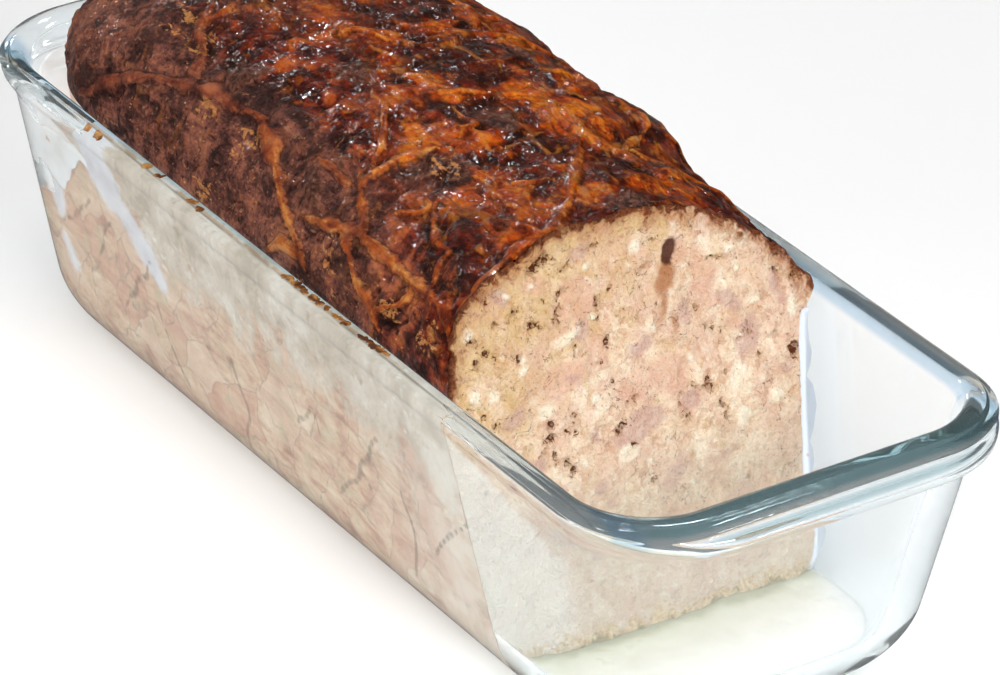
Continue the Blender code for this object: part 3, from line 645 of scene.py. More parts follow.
    wet = m.math("SUBTRACT", 1.0, m.times(dry, m.step(broad, 0.45, 0.60, 1.0, 0.6)))
    coated = m.times(wet, m.step(dark_patches, 0.0, 0.65, 1.0, 0.5))
    coated = m.times(coated, m.step(ragged_char, 0.0, 0.4, 1.0, 0.3))
    lumps = m.total((m.noise(4.6, 2, 0.4, 0.8), 0.7), (fibres, 0.45), (cords, 0.1))
    glaze = m.bump(lumps, 1.6, 1.0)
    glaze = m.bump(m.noise(2.2, 1, 0.5, 0.4), 0.35, 0.6, Normal=glaze)
    skin = m.bump(m.noise(1.1, 4, 0.65, 0.4), 0.55, 0.9, Normal=glaze)
    coated = m.times(coated, m.step(mottle, 0.42, 0.54, 0.12, 0.85))
    rough = m.step(wet, 0.3, 1.0, 0.66, 0.45)
    coat = {"Coat_Weight": coated, "Coat_Roughness": 0.05, "Coat_IOR": 1.4, "Coat_Normal": glaze}
    return m.finish(m.surface(rough, Normal=skin, Specular_IOR_Level=0.06, **coat))


def cut_material():
    """The cut: ground pinkish-beige meat with pale fat, mauve lean and specks, its hollows darkened with
    painted shade.
    """
    m = Nodes("cut_meat")
    cream, pink, mauve, herby = m.fields("cream pink mauve herby")
    pit, rim, spot, streak = m.fields("pit rim spot streak")
    bits, crumbs, lean = m.tones(4.6, (5, 5)), m.tones(1.6, (2, 2.5)), m.tones(7, (8, 9))
    y, z = m.axis("Y"), m.axis("Z")
    grain = m.noise(1.0, 5, 0.68, 0.4)
    broad = m.noise(15, 4, 0.6, 0.5)
    medium = m.noise(4.2, 5, 0.65, 0.9)

    m.base = m.ramp(
        m.total((bits[0], 0.12), (medium, 0.55), (grain, 0.33)),
        (0.36, "d0a886"), (0.43, "e4c2a2"), (0.50, "f0d5b8"), (0.57, "f7e2c8"), (0.66, "fdf0da"),
    )  # fmt: skip
    m.lay(m.step(broad, 0.42, 0.62, 0.0, 0.5), "e3bca2")
    m.lay(m.step(m.noise(7, 4, 0.6, 0.4), 0.56, 0.68, 0.0, 0.35), "e4c08c")
    m.lay(m.step(lean[0], 0.66, 0.76, 0.0, 0.4), "e3b7a2")
    m.lay(m.step(crumbs[1], 0.76, 0.86, 0.0, 0.35), "f3e2c8")
    m.lay(m.step(crumbs[2], 0.80, 0.90, 0.0, 0.4), "c8987c")
    speckle = m.step(m.total((grain, 1.0), (herby, -0.05)), 0.38, 0.30)
    m.lay(m.times(speckle, 0.55), "a37a58")
    m.lay(m.times(herby, m.step(medium, 0.40, 0.60, 0.3, 0.75)), "d3ab6e")

    rag = m.total((medium, 4.5), (grain, 1.4), (1.0, -2.95))
    crisp = m.total((medium, 1.6), (grain, 1.0), (1.0, -1.3))
    m.lay(m.step(m.total((pink, 1.0), (rag, 1.0)), -0.6, 1.4, 0.0, 0.6), "dfae96")
    colours = m.ramp(grain, (0.35, "bd9187"), (0.7, "d3ada2"))
    m.lay(m.step(m.total((mauve, 1.0), (rag, 0.8)), -0.4, 0.9, 0.0, 0.62), colours)
    colours = m.ramp(medium, (0.35, "f2dfc0"), (0.6, "fcf1dc"))
    m.lay(m.step(m.total((cream, 1.0), (crisp, 1.0)), -0.5, 0.9, 0.0, 0.9), colours)
    m.lay(m.step(m.total((streak, 1.0), (crisp, 1.5)), -0.9, 0.9, 0.0, 0.8), "ab683a")
    m.lay(m.step(m.total((spot, 1.0), (crisp, 1.0)), -0.2, 0.5, 0.0, 0.92), "4a1f16")

    stain = m.step(m.total((rim, 1.0), (medium, 14.0), (1.0, -7.0)), -0.5, 6.5, 1.0, 0.0)
    m.lay(m.times(stain, 0.85), m.ramp(grain, (0.35, "86451f"), (0.65, "bd7d42")))
    dark_edge = m.step(m.total((rim, 1.0), (medium, 10.0), (1.0, -5.0)), 0.4, 2.0, 1.0, 0.0)
    m.lay(m.times(dark_edge, 0.9), m.ramp(grain, (0.4, "45180c"), (0.6, "7a3a1c")))

    torn = m.noise(1.5, 4, 0.6, 1.2)
    pit_tone_and_shade = m.total((pit, 1.0), (torn, 4.6), (grain, 1.2), (1.0, -3.05))
    # The pits: a brown ring round each, then their insides darkened as painted shade.
    m.lay(m.step(pit_tone_and_shade, -0.7, 0.3, 0.0, 0.5), "b48a5c")
    colours = m.ramp(torn, (0.40, "b07246"), (0.47, "86441f"), (0.54, "5a200f"))
    m.lay(m.step(pit_tone_and_shade, 0.1, 0.5, 0.0, 0.92), colours)
    curl = m.step(m.off(m.noise(5.5, 3, 0.55, 0.8), 0.5), 0.003, 0.011, 1.0, 0.0)
    among = m.step(m.total((broad, 1.0), (herby, 0.10)), 0.46, 0.56)
    curl = m.times(curl, m.step(torn, 0.50, 0.56), among)
    m.lay(m.times(curl, 0.6), "6a4128")
    m.lay(m.times(m.spots(3.1, (4, 4), 0.05, 0.12), 0.6), "c9773a")
    pepper = m.times(m.spots(2.4, (2.2, 3), 0.05, 0.11), m.step(m.noise(5, 2), 0.44, 0.54), 0.65)
    m.lay(pepper, "5c4030")
    m.lay(m.step(z, 30, 50, 0.55, 0.0), "c6baa8")  # greyer and darker towards the bottom
    # Painted reflection: the pale haze of the glass wall in front, on the cut's lower left below where the
    # rim crosses it.
    glass_haze_edge = m.total((z, 1.0), (y, 1.5), (medium, 6), (1.0, 6.75))
    film = m.times(m.step(glass_haze_edge, -2, 2, 0.7, 0.0), m.step(y, -28, -22, 1.0, 0.2))
    m.lay(film, "f4ede2")  # painted reflection: the glass wall's pale haze, laid on the meat
    foot = m.total((z, 1.0), (medium, 14), (1.0, -7))
    m.lay(m.step(foot, 8.5, 11, 0.75, 0.0), m.ramp(grain, (0.35, "b8945e"), (0.6, "e2cda4")))
    # Painted shadow: a dark green-grey line along the foot of the cut, just above the pool.
    m.lay(m.step(foot, 6.6, 7.8, 0.7, 0.0), "8b8664")

    relief = m.total((medium, 0.8), (grain, 0.8), (torn, 0.5), (curl, -0.5))
    normal = m.bump(relief, 1.6, 0.9)
    normal = m.bump(m.noise(0.5, 3, 0.6), 0.2, 0.7, Normal=normal)
    depth = soft_depth(0.12, (1.0, 0.45, 0.3), 1.2)
    rough = m.step(grain, 0.3, 0.7, 0.6, 0.42)
    return m.finish(m.surface(rough, Normal=normal, Specular_IOR_Level=0.2, **depth))


def side_material():
    """The loaf's sides against the glass: milky fat above, streaky pinkish meat with cracks below."""
    m = Nodes("side_meat")
    milky, seam, crack = m.fields("milky seam crack")
    streaks = m.stretched_noise((12, 12, 4), 0, 5, 0.65, 0.9)
    blotches = m.noise(9, 4, 0.55, 0.1)
    grain = m.noise(1.6, 4, 0.65)
    meat = m.ramp(
        m.total((streaks, 0.5), (blotches, 0.35), (grain, 0.15)),
        (0.38, "b7917d"), (0.45, "cdaa94"), (0.51, "dabda4"), (0.57, "e2cbb2"), (0.64, "ead8c2"),
    )  # fmt: skip
    lumps = m.tones(13, (9, 9))
    meat = m.blend(m.step(lumps[0], 0.4, 1.0, 0.0, 0.5), meat, "e6cdb8")
    meat = m.blend(m.step(lumps[1], 0.6, 1.0, 0.0, 0.5), meat, "cfa18c")
    gaps = m.step(m.cells(13, (9, 9), "DISTANCE_TO_EDGE"), 0.0, 0.035, 1.0, 0.0)
    meat = m.blend(m.times(gaps, m.step(grain, 0.42, 0.56, 0.1, 0.6)), meat, "9b9080")
    olive = m.step(m.noise(7, 4, 0.6, 0.5), 0.54, 0.68, 0.0, 0.45)
    meat = m.blend(olive, meat, "c5bb9d")
    fine = m.stretched_noise((8, 8, 1.1), 0, 5, 0.65, 1.2)
    meat = m.blend(m.step(fine, 0.58, 0.72, 0.0, 0.3), meat, "a27f6a")
    film = m.ramp(
        m.total((blotches, 0.7), (grain, 0.3)),
        (0.38, "bbad9c"), (0.46, "cbbdac"), (0.54, "d6c9ba"), (0.62, "e0d7cb"),
    )  # fmt: skip
    flecks = m.spots(3.6, (3, 4), 0.12, 0.30)
    flecks = m.times(flecks, m.step(m.noise(14, 3), 0.48, 0.62, 0.0, 0.7))
    film = m.blend(flecks, film, "ebe6dd")
    crumbs = m.step(m.noise(5, 4, 0.65), 0.60, 0.70, 0.0, 0.5)
    film = m.blend(crumbs, film, "a68c73")
    rag = m.total((m.noise(9, 5, 0.65, 0.8), 60.0), (1.0, -30.0))
    m.base = m.blend(m.step(m.total((milky, 1.0), (rag, 1.0)), -6.0, 7.0), meat, film)
    frayed = m.total((seam, 1.0), (grain, 3.0), (blotches, 3.0), (1.0, -3.0))
    seam_colour = m.ramp(blotches, (0.3, "d2d2da"), (0.7, "ececf0"))
    m.lay(m.step(frayed, -1.5, 1.3, 0.0, 0.85), seam_colour)
    near_cut = m.times(m.step(m.axis("X"), 30, 75), m.step(blotches, 0.4, 0.6, 0.35, 0.65))
    m.lay(near_cut, "ede5d9")
    thin = m.total((crack, 1.0), (grain, 1.2), (1.0, -0.6))
    m.lay(m.step(thin, -0.5, 0.2, 0.0, 0.5), "75675a")
    rough = m.step(grain, 0.3, 0.7, 0.7, 0.5)
    return m.finish(m.surface(rough, Normal=m.bump(grain, 0.3, 0.3), Specular_IOR_Level=0.2))


def fat_material():
    """White set fat with a few pinkish crumbs."""
    m = Nodes("white_fat")
    clouds = m.noise(11, 4, 0.6, 0.4)
    grain = m.noise(1.6, 4, 0.6)
    m.base = m.ramp(clouds, (0.3, "dfdcd8"), (0.5, "ebe9e8"), (0.7, "f5f4f4"))
    m.lay(m.step(m.axis("X"), 62, 66, 0.0, 0.85), "c6cedb")  # thin and bluish at the cut
    crumbs = m.spots(6.5, (4, 5), 0.10, 0.20)
    crumbs = m.times(crumbs, m.step(m.noise(8, 3), 0.48, 0.60), 0.7)
    m.lay(crumbs, m.ramp(grain, (0.35, "a8735a"), (0.7, "dcb8a4")))
    rough, normal = m.step(grain, 0.3, 0.7, 0.5, 0.32), m.bump(m.noise(3, 4, 0.6), 0.6, 0.5)
    return m.finish(m.surface(rough, Normal=normal, **soft_depth(0.3, (1.0, 0.9, 0.8), 2)))


def pool_material():
    """Milky set juice and fat on the dish's floor, faintly green."""
    m = Nodes("milky_fat")
    clouds = m.noise(13, 4, 0.6, 0.6)
    m.base = m.ramp(clouds, (0.3, "d9d7ca"), (0.5, "e3e1d6"), (0.7, "ebe9e1"))
    along = m.axis("X")
    m.lay(m.step(along, 82, 98, 0.8, 0.0), "c9cdb6")  # greener by the loaf
    # Painted shadow: a dark green-grey band on the pool along the foot of the cut.
    shadow_by_cut = m.total((along, 1.0), (clouds, 10), (1.0, -5))
    m.lay(m.step(shadow_by_cut, 84.5, 88.5, 0.75, 0.0), "a3a588")
    m.lay(m.step(along, 92, 110, 0.0, 0.9), "f5f5f1")
    rough, normal = m.step(clouds, 0.3, 0.7, 0.45, 0.25), m.bump(m.noise(4, 3, 0.5), 0.5, 0.4)
    return m.finish(m.surface(rough, Normal=normal, **soft_depth(1, (1.0, 1.0, 0.9), 4)))


def glass_material():
    """Clear ovenproof glass, faintly blue-green where light runs far through it, with light smears."""
    m = Nodes("clear_glass")
    smears = m.noise(24, 4, 0.6, 0.8)
    x, y, z = (m.axis(name) for name in "XYZ")
    across, left = m.off(y, 0), m.times(y, -1)
    m.base = m.blend(m.times(m.step(z, 68.6, 69.8), m.step(x, 122, 140, 0.12, 1.0)), "fcfeff", "96c6cf")
    inner_edge = m.times(m.step(z, 66, 68), m.step(across, 51.6, 50.6), m.step(across, 44, 48))
    m.lay(m.times(inner_edge, 0.8), "8fbde0")
    top = m.step(z, 69.4, 70.2)
    strip = m.times(m.step(left, 49.6, 50.4), m.step(left, 53.0, 52.0), top)
    m.lay(m.times(strip, m.step(x, -10, 60, 0.8, 0.25)), "86bfe0")
    patches = m.step(m.noise(14, 4, 0.6), 0.44, 0.52, 0.0, 0.85)
    residue = m.times(m.step(left, 52.2, 52.6), m.step(left, 53.4, 53.0), patches)
    m.lay(m.times(residue, m.step(x, 40, 62, 1.0, 0.0), top), "b9915e")
    # Painted reflection: a thin dark line along the step on the rim's outer edge, standing in for dark
    # surroundings seen in the glass.
    painted_dark_edge = m.times(m.step(m.off(across, 53.2), 0.05, 0.3, 1.0, 0.0), m.step(z, 69, 69.8))
    m.lay(m.times(painted_dark_edge, m.step(smears, 0.35, 0.55, 0.4, 0.8)), "59636b")
    glass = m.surface(m.step(smears, 0.45, 0.75, 0.0, 0.06), IOR=1.47, Transmission_Weight=0.95)
    clear = m.add("ShaderNodeBsdfTransparent", {"Color": (0.96, 0.97, 0.97, 1)})
    path = m.add("ShaderNodeLightPath")
    lamp_ray = m.math("MAXIMUM", path.outputs["Is Shadow Ray"], path.outputs["Is Diffuse Ray"])
    both = m.add("ShaderNodeMixShader", {0: lamp_ray, 1: glass, 2: clear.outputs[0]})
    tint = m.add("ShaderNodeVolumeAbsorption", {"Color": (0.55, 0.84, 0.91, 1), "Density": 7.0})
    return m.finish(both.outputs[0], tint.outputs[0])


def crumb_material():
    m = Nodes("browned_crumbs")
    m.base = m.ramp(m.noise(3, 3, 0.6, 0.4), (0.38, "4e2a10"), (0.50, "8a5626"), (0.62, "bb8c4c"))
    return m.finish(m.surface(0.45))


def floor_material():
    m = Nodes("pale_floor")
    m.base = colour("fafafa")
    return m.finish(m.surface(0.9))


# --- glass dish -------------------------------------------------------------------------


ARC_STEPS, LONG_STEPS, END_STEPS = 20, 24, 14


def rounded_rectangle(half_x, half_y, radius):
    """Points anticlockwise round a rectangle with round corners, alike in number for any size."""
    points = []
    corners = ((1, 1), (-1, 1), (-1, -1), (1, -1))
    for number, (side_x, side_y) in enumerate(corners):
        flat = np.array((half_x - radius, half_y - radius))
        centre = flat * (side_x, side_y)
        angles = math.pi / 2 * (number + np.arange(ARC_STEPS + 1) / ARC_STEPS)
        points += list(centre + radius * np.stack([np.cos(angles), np.sin(angles)], axis=1))
        next_x, next_y = corners[(number + 1) % 4]
        across = flat * (next_x - side_x, next_y - side_y)
        steps = LONG_STEPS if number % 2 == 0 else END_STEPS
        points += [points[-1] + across * step / steps for step in range(1, steps)]
    return np.array(points)


def dish_profile():
    """Rows of (half_x, half_y, corner, z, drop at the grips), out from the base and in to the floor."""
    rows = [(*shrunk(body_outline(0.0), OUTER_FILLET + inset * MM), 0.0, 0.0) for inset in (14, 6)]
    for angle in np.linspace(0, math.pi / 2, 13):
        z = OUTER_FILLET * (1 - math.cos(angle))
        rows.append((*shrunk(body_outline(z), OUTER_FILLET * (1 - math.sin(angle))), z, 0.0))
    neck = RIM_Z - GRIP_DROP - GRIP_THICK - 1.2 * MM
    rows += [(*body_outline(z), z, 0.0) for z in (RIM_Z * 0.5, neck - 5 * MM, neck)]
    low = GRIP_DROP + GRIP_THICK
    grip = (GRIP_HALF_X, GRIP_HALF_Y, GRIP_CORNER)
    flange = ((1.6, low), (0.5, low - 1.0 * MM), (0.0, GRIP_DROP + 1.2 * MM), (0.9, GRIP_DROP + 0.2 * MM))
    for inset, drop in flange:
        outline = (side - inset * MM * share for side, share in zip(grip, (1, 0.4, 1)))
        rows.append((*outline, RIM_Z - drop, 0.0))
    over = (
        (-0.5, 2.2, 0.6), (0.0, 1.5, 0.5), (0.7, 0.9, 0.1), (1.6, 0.7, 0.0), (1.9, 0.1, 0.0),
        (2.4, 0.0, 0.0), (3.8, 0.0, 0.0),
    )  # fmt: skip
    for inset, drop, grip_drop in over:
        outline = shrunk((BEAD_HALF_X, BEAD_HALF_Y, BEAD_CORNER), inset * MM)
        rows.append((*outline, RIM_Z - drop * MM, grip_drop * MM))
    for inset, drop in ((3.9, 0.5), (4.8, 2.0)):
        z = RIM_Z - drop * MM
        rows.append((*shrunk(body_outline(z), inset * MM), z, 0.0))
    rows += [(*cavity_outline(z), z, 0.0) for z in (RIM_Z * 0.62, RIM_Z * 0.4, FLOOR_Z + INNER_FILLET)]
    for angle in np.linspace(0, math.pi / 2, 11)[1:]:
        z = FLOOR_Z + INNER_FILLET * (1 - math.sin(angle))
        rows.append((*cavity_outline(z), z, 0.0))
    return rows + [(*shrunk(cavity_outline(FLOOR_Z), inset * MM), FLOOR_Z, 0.0) for inset in (6, 14)]


def build_dish(material):
    rings = []
    for half_x, half_y, corner, z, drop in rounded_path(dish_profile()):
        plan = rounded_rectangle(half_x, half_y, corner)
        at_end = np.abs(plan[:, 0]) > BASE_HALF_X - BASE_CORNER
        at_grip = np.where(at_end, 1 - smooth(*GRIP_SPAN, np.abs(plan[:, 1])), 0.0)
        rings.append(np.column_stack([plan, z - drop * at_grip]))
    lofted("glass_dish", rings, material, "dish")


# --- the loaf's smooth form -------------------------------------------------------------


def far_x(z):
    return -(body_outline(z)[0] - WALL - FAR_INSET)


def cut_x(z):
    return CUT_X + CUT_SLANT * (RIM_Z - z)


LOAF_LENGTH = CUT_X - far_x(RIM_Z)


def loaf_x(depth, z):
    """X at a depth from the loaf's far end and a height: upright there, slanted at the cut."""
    return mix(far_x(z), cut_x(z), depth / LOAF_LENGTH)


def loaf_half_y(depth, z, side):
    """Half width of the loaf at a depth and a height; side is -1 left and 1 right."""
    level = z / RIM_Z
    _, half, corner = cavity_outline(z)
    half = half + INTO_GLASS
    if side > 0:
        half = half - SHRINK_RIGHT * smooth(0.02, 0.3, level) * (1 - smooth(0.84, 1.03, level))
    shrink = smooth(*FAR_SHRINK_LEVELS, level)
    corner_x, corner_y = (mix(corner - FAR_LOW_GAP, most, shrink) for most in (FAR_CORNER_X, FAR_CORNER_Y))
    return half - corner_y * (1 - quarter(depth, corner_x))


def edge_height(depth):
    return RIM_Z - EDGE_DROP - FAR_EDGE_DROP * (1 - quarter(depth, FAR_CORNER_X))


def dome_arc(depth, count):
    """Points evenly along the dome at a depth, as rows of (y, z), from the right edge to the left."""
    near_cut = smooth(15 * MM, 40 * MM, loaf_x(depth, RIM_Z))
    far = 1 - smooth(30 * MM, 90 * MM, depth)
    fade = quarter(depth, CREST_FADE)
    rise = CREST_RISE * fade - CREST_DROP_CUT * near_cut + CREST_RISE_FAR * far * (1 - fade)
    edge = edge_height(depth)
    angles = np.linspace(0, math.pi, 721)
    right = angles <= math.pi / 2
    squareness = np.where(right, mix(2.5, 1.62, near_cut), mix(2.4, 3.0, far))
    half = np.where(right, loaf_half_y(depth, edge, 1), loaf_half_y(depth, edge, -1))
    y = np.sign(np.cos(angles)) * np.abs(np.cos(angles)) ** (2 / squareness) * half
    z = edge + rise * np.abs(np.sin(angles)) ** (2 / squareness)
    along = np.concatenate(([0], np.cumsum(np.hypot(np.diff(y), np.diff(z)))))
    even = np.linspace(0, along[-1], count)
    return np.column_stack([np.interp(even, along, side) for side in (y, z)])


def loaf_ring(depth):
    """The smooth outline across the loaf at a depth: floor, right side, dome, left side."""
    floor = FLOOR_Z - INTO_GLASS + INNER_FILLET * (1 - quarter(depth, INNER_FILLET))
    edge = edge_height(depth)
    half_floor = loaf_half_y(depth, floor, -1)
    levels = mix(floor, edge, (1 - np.cos(math.pi * np.arange(SIDE_STEPS) / SIDE_STEPS)) / 2)
    across = mix(-half_floor, half_floor, np.arange(1, FLOOR_STEPS) / FLOOR_STEPS)
    rows = [
        np.column_stack([across, np.full(len(across), floor)]),
        np.column_stack([loaf_half_y(depth, levels, 1), levels]),
        dome_arc(depth, DOME_STEPS + 1),
        np.column_stack([-loaf_half_y(depth, levels, -1), levels])[::-1],
    ]
    outline = np.concatenate(rows)
    return np.column_stack([loaf_x(depth, outline[:, 1]), outline])


DOME_START = FLOOR_STEPS - 1 + SIDE_STEPS


def station_depths():
    """Depths of the rings, close together round the far end."""
    turns = math.pi / 2 * np.arange(CORNER_STATIONS) / CORNER_STATIONS
    corner = FAR_CORNER_X * (1 - np.cos(turns))
    return np.concatenate([corner, np.linspace(FAR_CORNER_X, LOAF_LENGTH, LENGTH_STATIONS)])


def grid_normals(grid):
    """Outward normals of a grid of rings."""
    along = np.gradient(grid, axis=0)
    across = np.roll(grid, -1, axis=1) - np.roll(grid, 1, axis=1)
    normal = np.cross(across, along)
    return normal / np.maximum(np.linalg.norm(normal, axis=-1, keepdims=True), 1e-12)


# --- relief -----------------------------------------------------------------------------


def crust_fields(points, depth, turn):
    """Relief of the crust and the fields that its material reads, at points of the dome."""
    plan = np.stack([depth, turn * HALF_ARC], axis=-1)
    wave = wander(plan, 8 * MM, 11)
    plan_strand = plan + 1.3 * MM * wave
    width_noise = 1 + 0.55 * lattice_noise(plan, 4 * MM, 13)

    strand, lane, run = (np.full(depth.shape, start) for start in (-3.0, 0.0, 0.0))
    for number, (half_width, *path) in enumerate(STRANDS):
        path = rounded_path([(d * MM, t * HALF_ARC) for d, t in path])
        away, side, along = along_path(plan_strand[..., 0], plan_strand[..., 1], path)
        length = sum(math.dist(a, b) for a, b in zip(path, path[1:]))
        taper = 0.35 + 0.65 * smooth(0, TAPER, along) * smooth(0, TAPER, length - along)
        width = 0.85 * half_width * MM * width_noise * taper
        value = 1 - away / width
        lane = np.where(value > strand, side / width + 5.0 * number, lane)
        run = np.where(value > strand, along, run)
        strand = np.maximum(strand, value)

    _, border, _ = mosaic(plan + 4 * MM * wander(plan, 15 * MM, 21), LACE_SIZE, 5)
    lace_width = np.maximum(1.0 * MM * (0.35 + rough_noise(plan, 22 * MM, 2, 31)), 0.02 * MM)
    lace = np.maximum(1 - border / lace_width, -3.0)
    _, pillow_border, pillow = mosaic(plan + 1.5 * MM * wave, PILLOW_SIZE, 8)

    dry = smooth(-0.40, -0.60, turn + 0.12 * lattice_noise(plan, 20 * MM, 41))
    dry = dry * smooth(205 * MM, 150 * MM, depth + 12 * MM * lattice_noise(plan, 12 * MM, 42))
    far_dry = smooth(75 * MM, 50 * MM, depth + 10 * MM * lattice_noise(plan, 14 * MM, 43))
    dry = np.clip(np.maximum(dry, far_dry * smooth(0.25, -0.10, turn)), 0, 1)
    amber_from = mix(-0.30, -0.60, smooth(110 * MM, 165 * MM, depth))
    amber = smooth(amber_from, amber_from + 0.30, turn + 0.18 * lattice_noise(plan, 18 * MM, 44))
    amber = amber * smooth(30 * MM, 100 * MM, depth)
    # Less amber, so darker glaze, on the right slope: painted shade.
    amber = amber * (1 - 0.8 * smooth(0.42, 0.62, turn + 0.1 * lattice_noise(plan, 15 * MM, 45)))

    def patch(patches):
        field = np.full(depth.shape, -3.0)
        for d, t, half_width in patches:
            away = np.linalg.norm(plan_strand - (d * MM, t * HALF_ARC), axis=-1)
            field = np.maximum(field, 1 - away / MM * (1 + 0.25 * wave[..., 0]) / half_width)
        return field

    char, tawny = patch(CHARRED), patch(TAWNY)
    lumps = [
        LUMP * noise.noise(Vector(p) / LUMP_SIZE) + WRINKLE * noise.noise(Vector(p) / WRINKLE_SIZE)
        for p in points.reshape(-1, 3)
    ]
    beside = smooth(-1.2, -0.1, strand) * (1 - smooth(-0.1, 0.15, strand))
    bare = 1 - smooth(-0.2, 0.3, strand)
    bulge = PILLOW_RISE * smooth(0.0, PILLOW_EDGE, pillow_border) * (0.35 + 0.65 * pillow)
    crease = smooth(0.90, 1.0, 1 - np.abs(rough_noise(plan + 1.0 * MM * wave, 7 * MM, 3, 51))) * bare
    fibres = rough_noise(plan / np.array([5.0, 1.0]), 1.9 * MM, 2, 61)
    relief = (
        np.reshape(lumps, depth.shape)
        + STRAND_RISE * quarter(strand)
        + LACE_RISE * quarter(lace) * bare
        - GROOVE * beside
        + (bulge - PILLOW_RISE / 2) * bare * (1 - 0.5 * dry) * (1 - 0.4 * amber)
        - CREASE * crease * (1 - 0.4 * dry)
        + FIBRE_RISE * fibres * amber * bare
        + GRIT * rough_noise(points, 2.6 * MM, 2, 71)
        + CHAR_RISE * smooth(0.0, 0.6, char)
    )
    # Creases and the feet of the pillows, which the material darkens as painted shade.
    pillow_foot = 0.7 * smooth(0.9 * MM, 0.1 * MM, pillow_border)
    hollow = np.clip(crease + pillow_foot * (1 - dry) * bare, 0, 1)
    fields = {
        "strand": strand, "lane": lane, "run": run, "lace": lace, "dry": dry, "amber": amber,
        "char": char, "tawny": tawny, "hollow": hollow, "tone": pillow,
    }  # fmt: skip
    return relief, fields


def side_fields(points):
    """Fields for the left side: how far above the meat's upper edge, and the seams and cracks."""
    x, z = points[..., 0], points[..., 2]
    edge_x, edge_z = (np.array(column) * MM for column in zip(*MILKY_EDGE))
    milky = (z - np.interp(x, edge_x, edge_z)) / MM
    plan = np.stack([x, z], axis=-1)
    plan = np.moveaxis(plan + 1.6 * MM * wander(plan, 7 * MM, 81), -1, 0) / MM
    fields = {"milky": milky}
    for name, marks, shaped in (("seam", FAT_SEAM, list), ("crack", CRACKS, rounded_path)):
        depths = [half_width - distance_to_path(*plan, shaped(path)) for half_width, *path in marks]
        fields[name] = np.where(points[..., 1] < 0, np.maximum(np.max(depths, axis=0), -4.0), -4.0)
    return fields


def scattered(count, seed, low, high, lean_up=0.0):
    """Small ellipses over the cut, the more of them to the upper left the more they lean up."""
    random = np.random.default_rng(seed)
    found = []
    while len(found) < count:
        y, z = random.uniform(-50, 45), random.uniform(7, 99)
        keep = mix(1.0, 0.15 + 0.85 * smooth(55, 85, z) * smooth(25, -15, y), lean_up)
        if random.random() < keep:
            half = random.uniform(low, high) * random.uniform(0.7, 1.0)
            found.append((y, z, half, half * random.uniform(0.5, 1.0), random.uniform(0, 180)))
    return tuple(found)


def cut_fields(y, z, outline):
    """Relief of the cut and the fields that its material reads."""
    plan = np.stack([y, z], axis=-1)
    wave, fine = wander(plan, 3.5 * MM, 91), wander(plan, 1.3 * MM, 93)
    soft = np.moveaxis(plan + 0.6 * MM * wave, -1, 0)
    torn = np.moveaxis(plan + 0.45 * MM * wave + 0.45 * MM * fine, -1, 0)
    cream = inside_ellipses(*soft, CREAM + scattered(70, 3, 0.5, 1.3))
    mauve = inside_ellipses(*soft, MAUVE + scattered(14, 4, 1.5, 3.5))
    pink = inside_ellipses(*soft, PINK + scattered(22, 5, 2.0, 5.0))
    pit = inside_ellipses(*torn, PITS + scattered(50, 6, 0.3, 0.9, 0.85))
    spot, streak = inside_ellipses(*soft, SPOT), inside_ellipses(*soft, STREAK)
    crust_edge = outline[DOME_START : DOME_START + DOME_STEPS + 1]
    rim = distance_to_path(y, z, crust_edge[::3, 1:]) / MM
    relief = (
        0.40 * MM * rough_noise(plan, 4.0 * MM, 3, 95)
        + 0.24 * MM * rough_noise(plan, 1.4 * MM, 2, 96)
        - PIT_DEPTH * smooth(-0.1, 0.8, pit)
        + FAT_RISE * smooth(-0.1, 0.6, cream)
        - SPOT_DEPTH * smooth(-0.2, 0.8, spot)
        + EDGE_RISE * smooth(1.6, 0.0, rim)
    )
    fields = {
        "cream": cream, "pink": pink, "mauve": mauve, "pit": pit,
        "rim": rim, "spot": spot, "streak": streak,
        "herby": smooth(62 * MM, 92 * MM, z + 0.6 * (-8 * MM - y) + 14 * MM * wave[..., 0]),
    }  # fmt: skip
    return relief, fields


# --- the loaf ---------------------------------------------------------------------------


def inside_outline(points, outline):
    """Which points lie inside a closed outline."""
    inside = np.zeros(len(points), bool)
    for (y0, z0), (y1, z1) in zip(outline, np.roll(outline, -1, axis=0)):
        if z0 != z1:
            crosses = (z0 > points[:, 1]) != (z1 > points[:, 1])
            inside ^= crosses & (points[:, 0] < y0 + (points[:, 1] - z0) * (y1 - y0) / (z1 - z0))
    return inside


def filled_outline(outline, spacing):
    """(new points as (y, z), triangles) that fill a closed outline evenly."""
    low, high = outline.min(axis=0), outline.max(axis=0)
    rows, columns = int((high[1] - low[1]) / (spacing * 0.87)), int((high[0] - low[0]) / spacing)
    row, column = np.meshgrid(np.arange(1, rows + 1), np.arange(columns + 1), indexing="ij")
    y = low[0] + spacing * (column + 0.5 * (row % 2))
    points = np.column_stack([y.ravel(), (low[1] + spacing * 0.87 * row).ravel()])
    points = points[inside_outline(points, outline)]
    ends = np.concatenate([outline, outline[:1]])
    points = points[distance_to_path(*points.T, ends) > 0.5 * spacing]
    flat = [Vector(p) for p in np.concatenate([outline, points])]
    result = delaunay_2d_cdt(flat, [], [list(range(len(outline)))], 1, 1e-7)
    source = [origin[0] for origin in result[3]]
    return points, np.array([[source[i] for i in face] for face in result[2]])


# Fields that are -3 where nothing is near, and not 0.
FROM_MINUS_3 = "strand lace char tawny cream pink mauve pit rim spot streak".split()


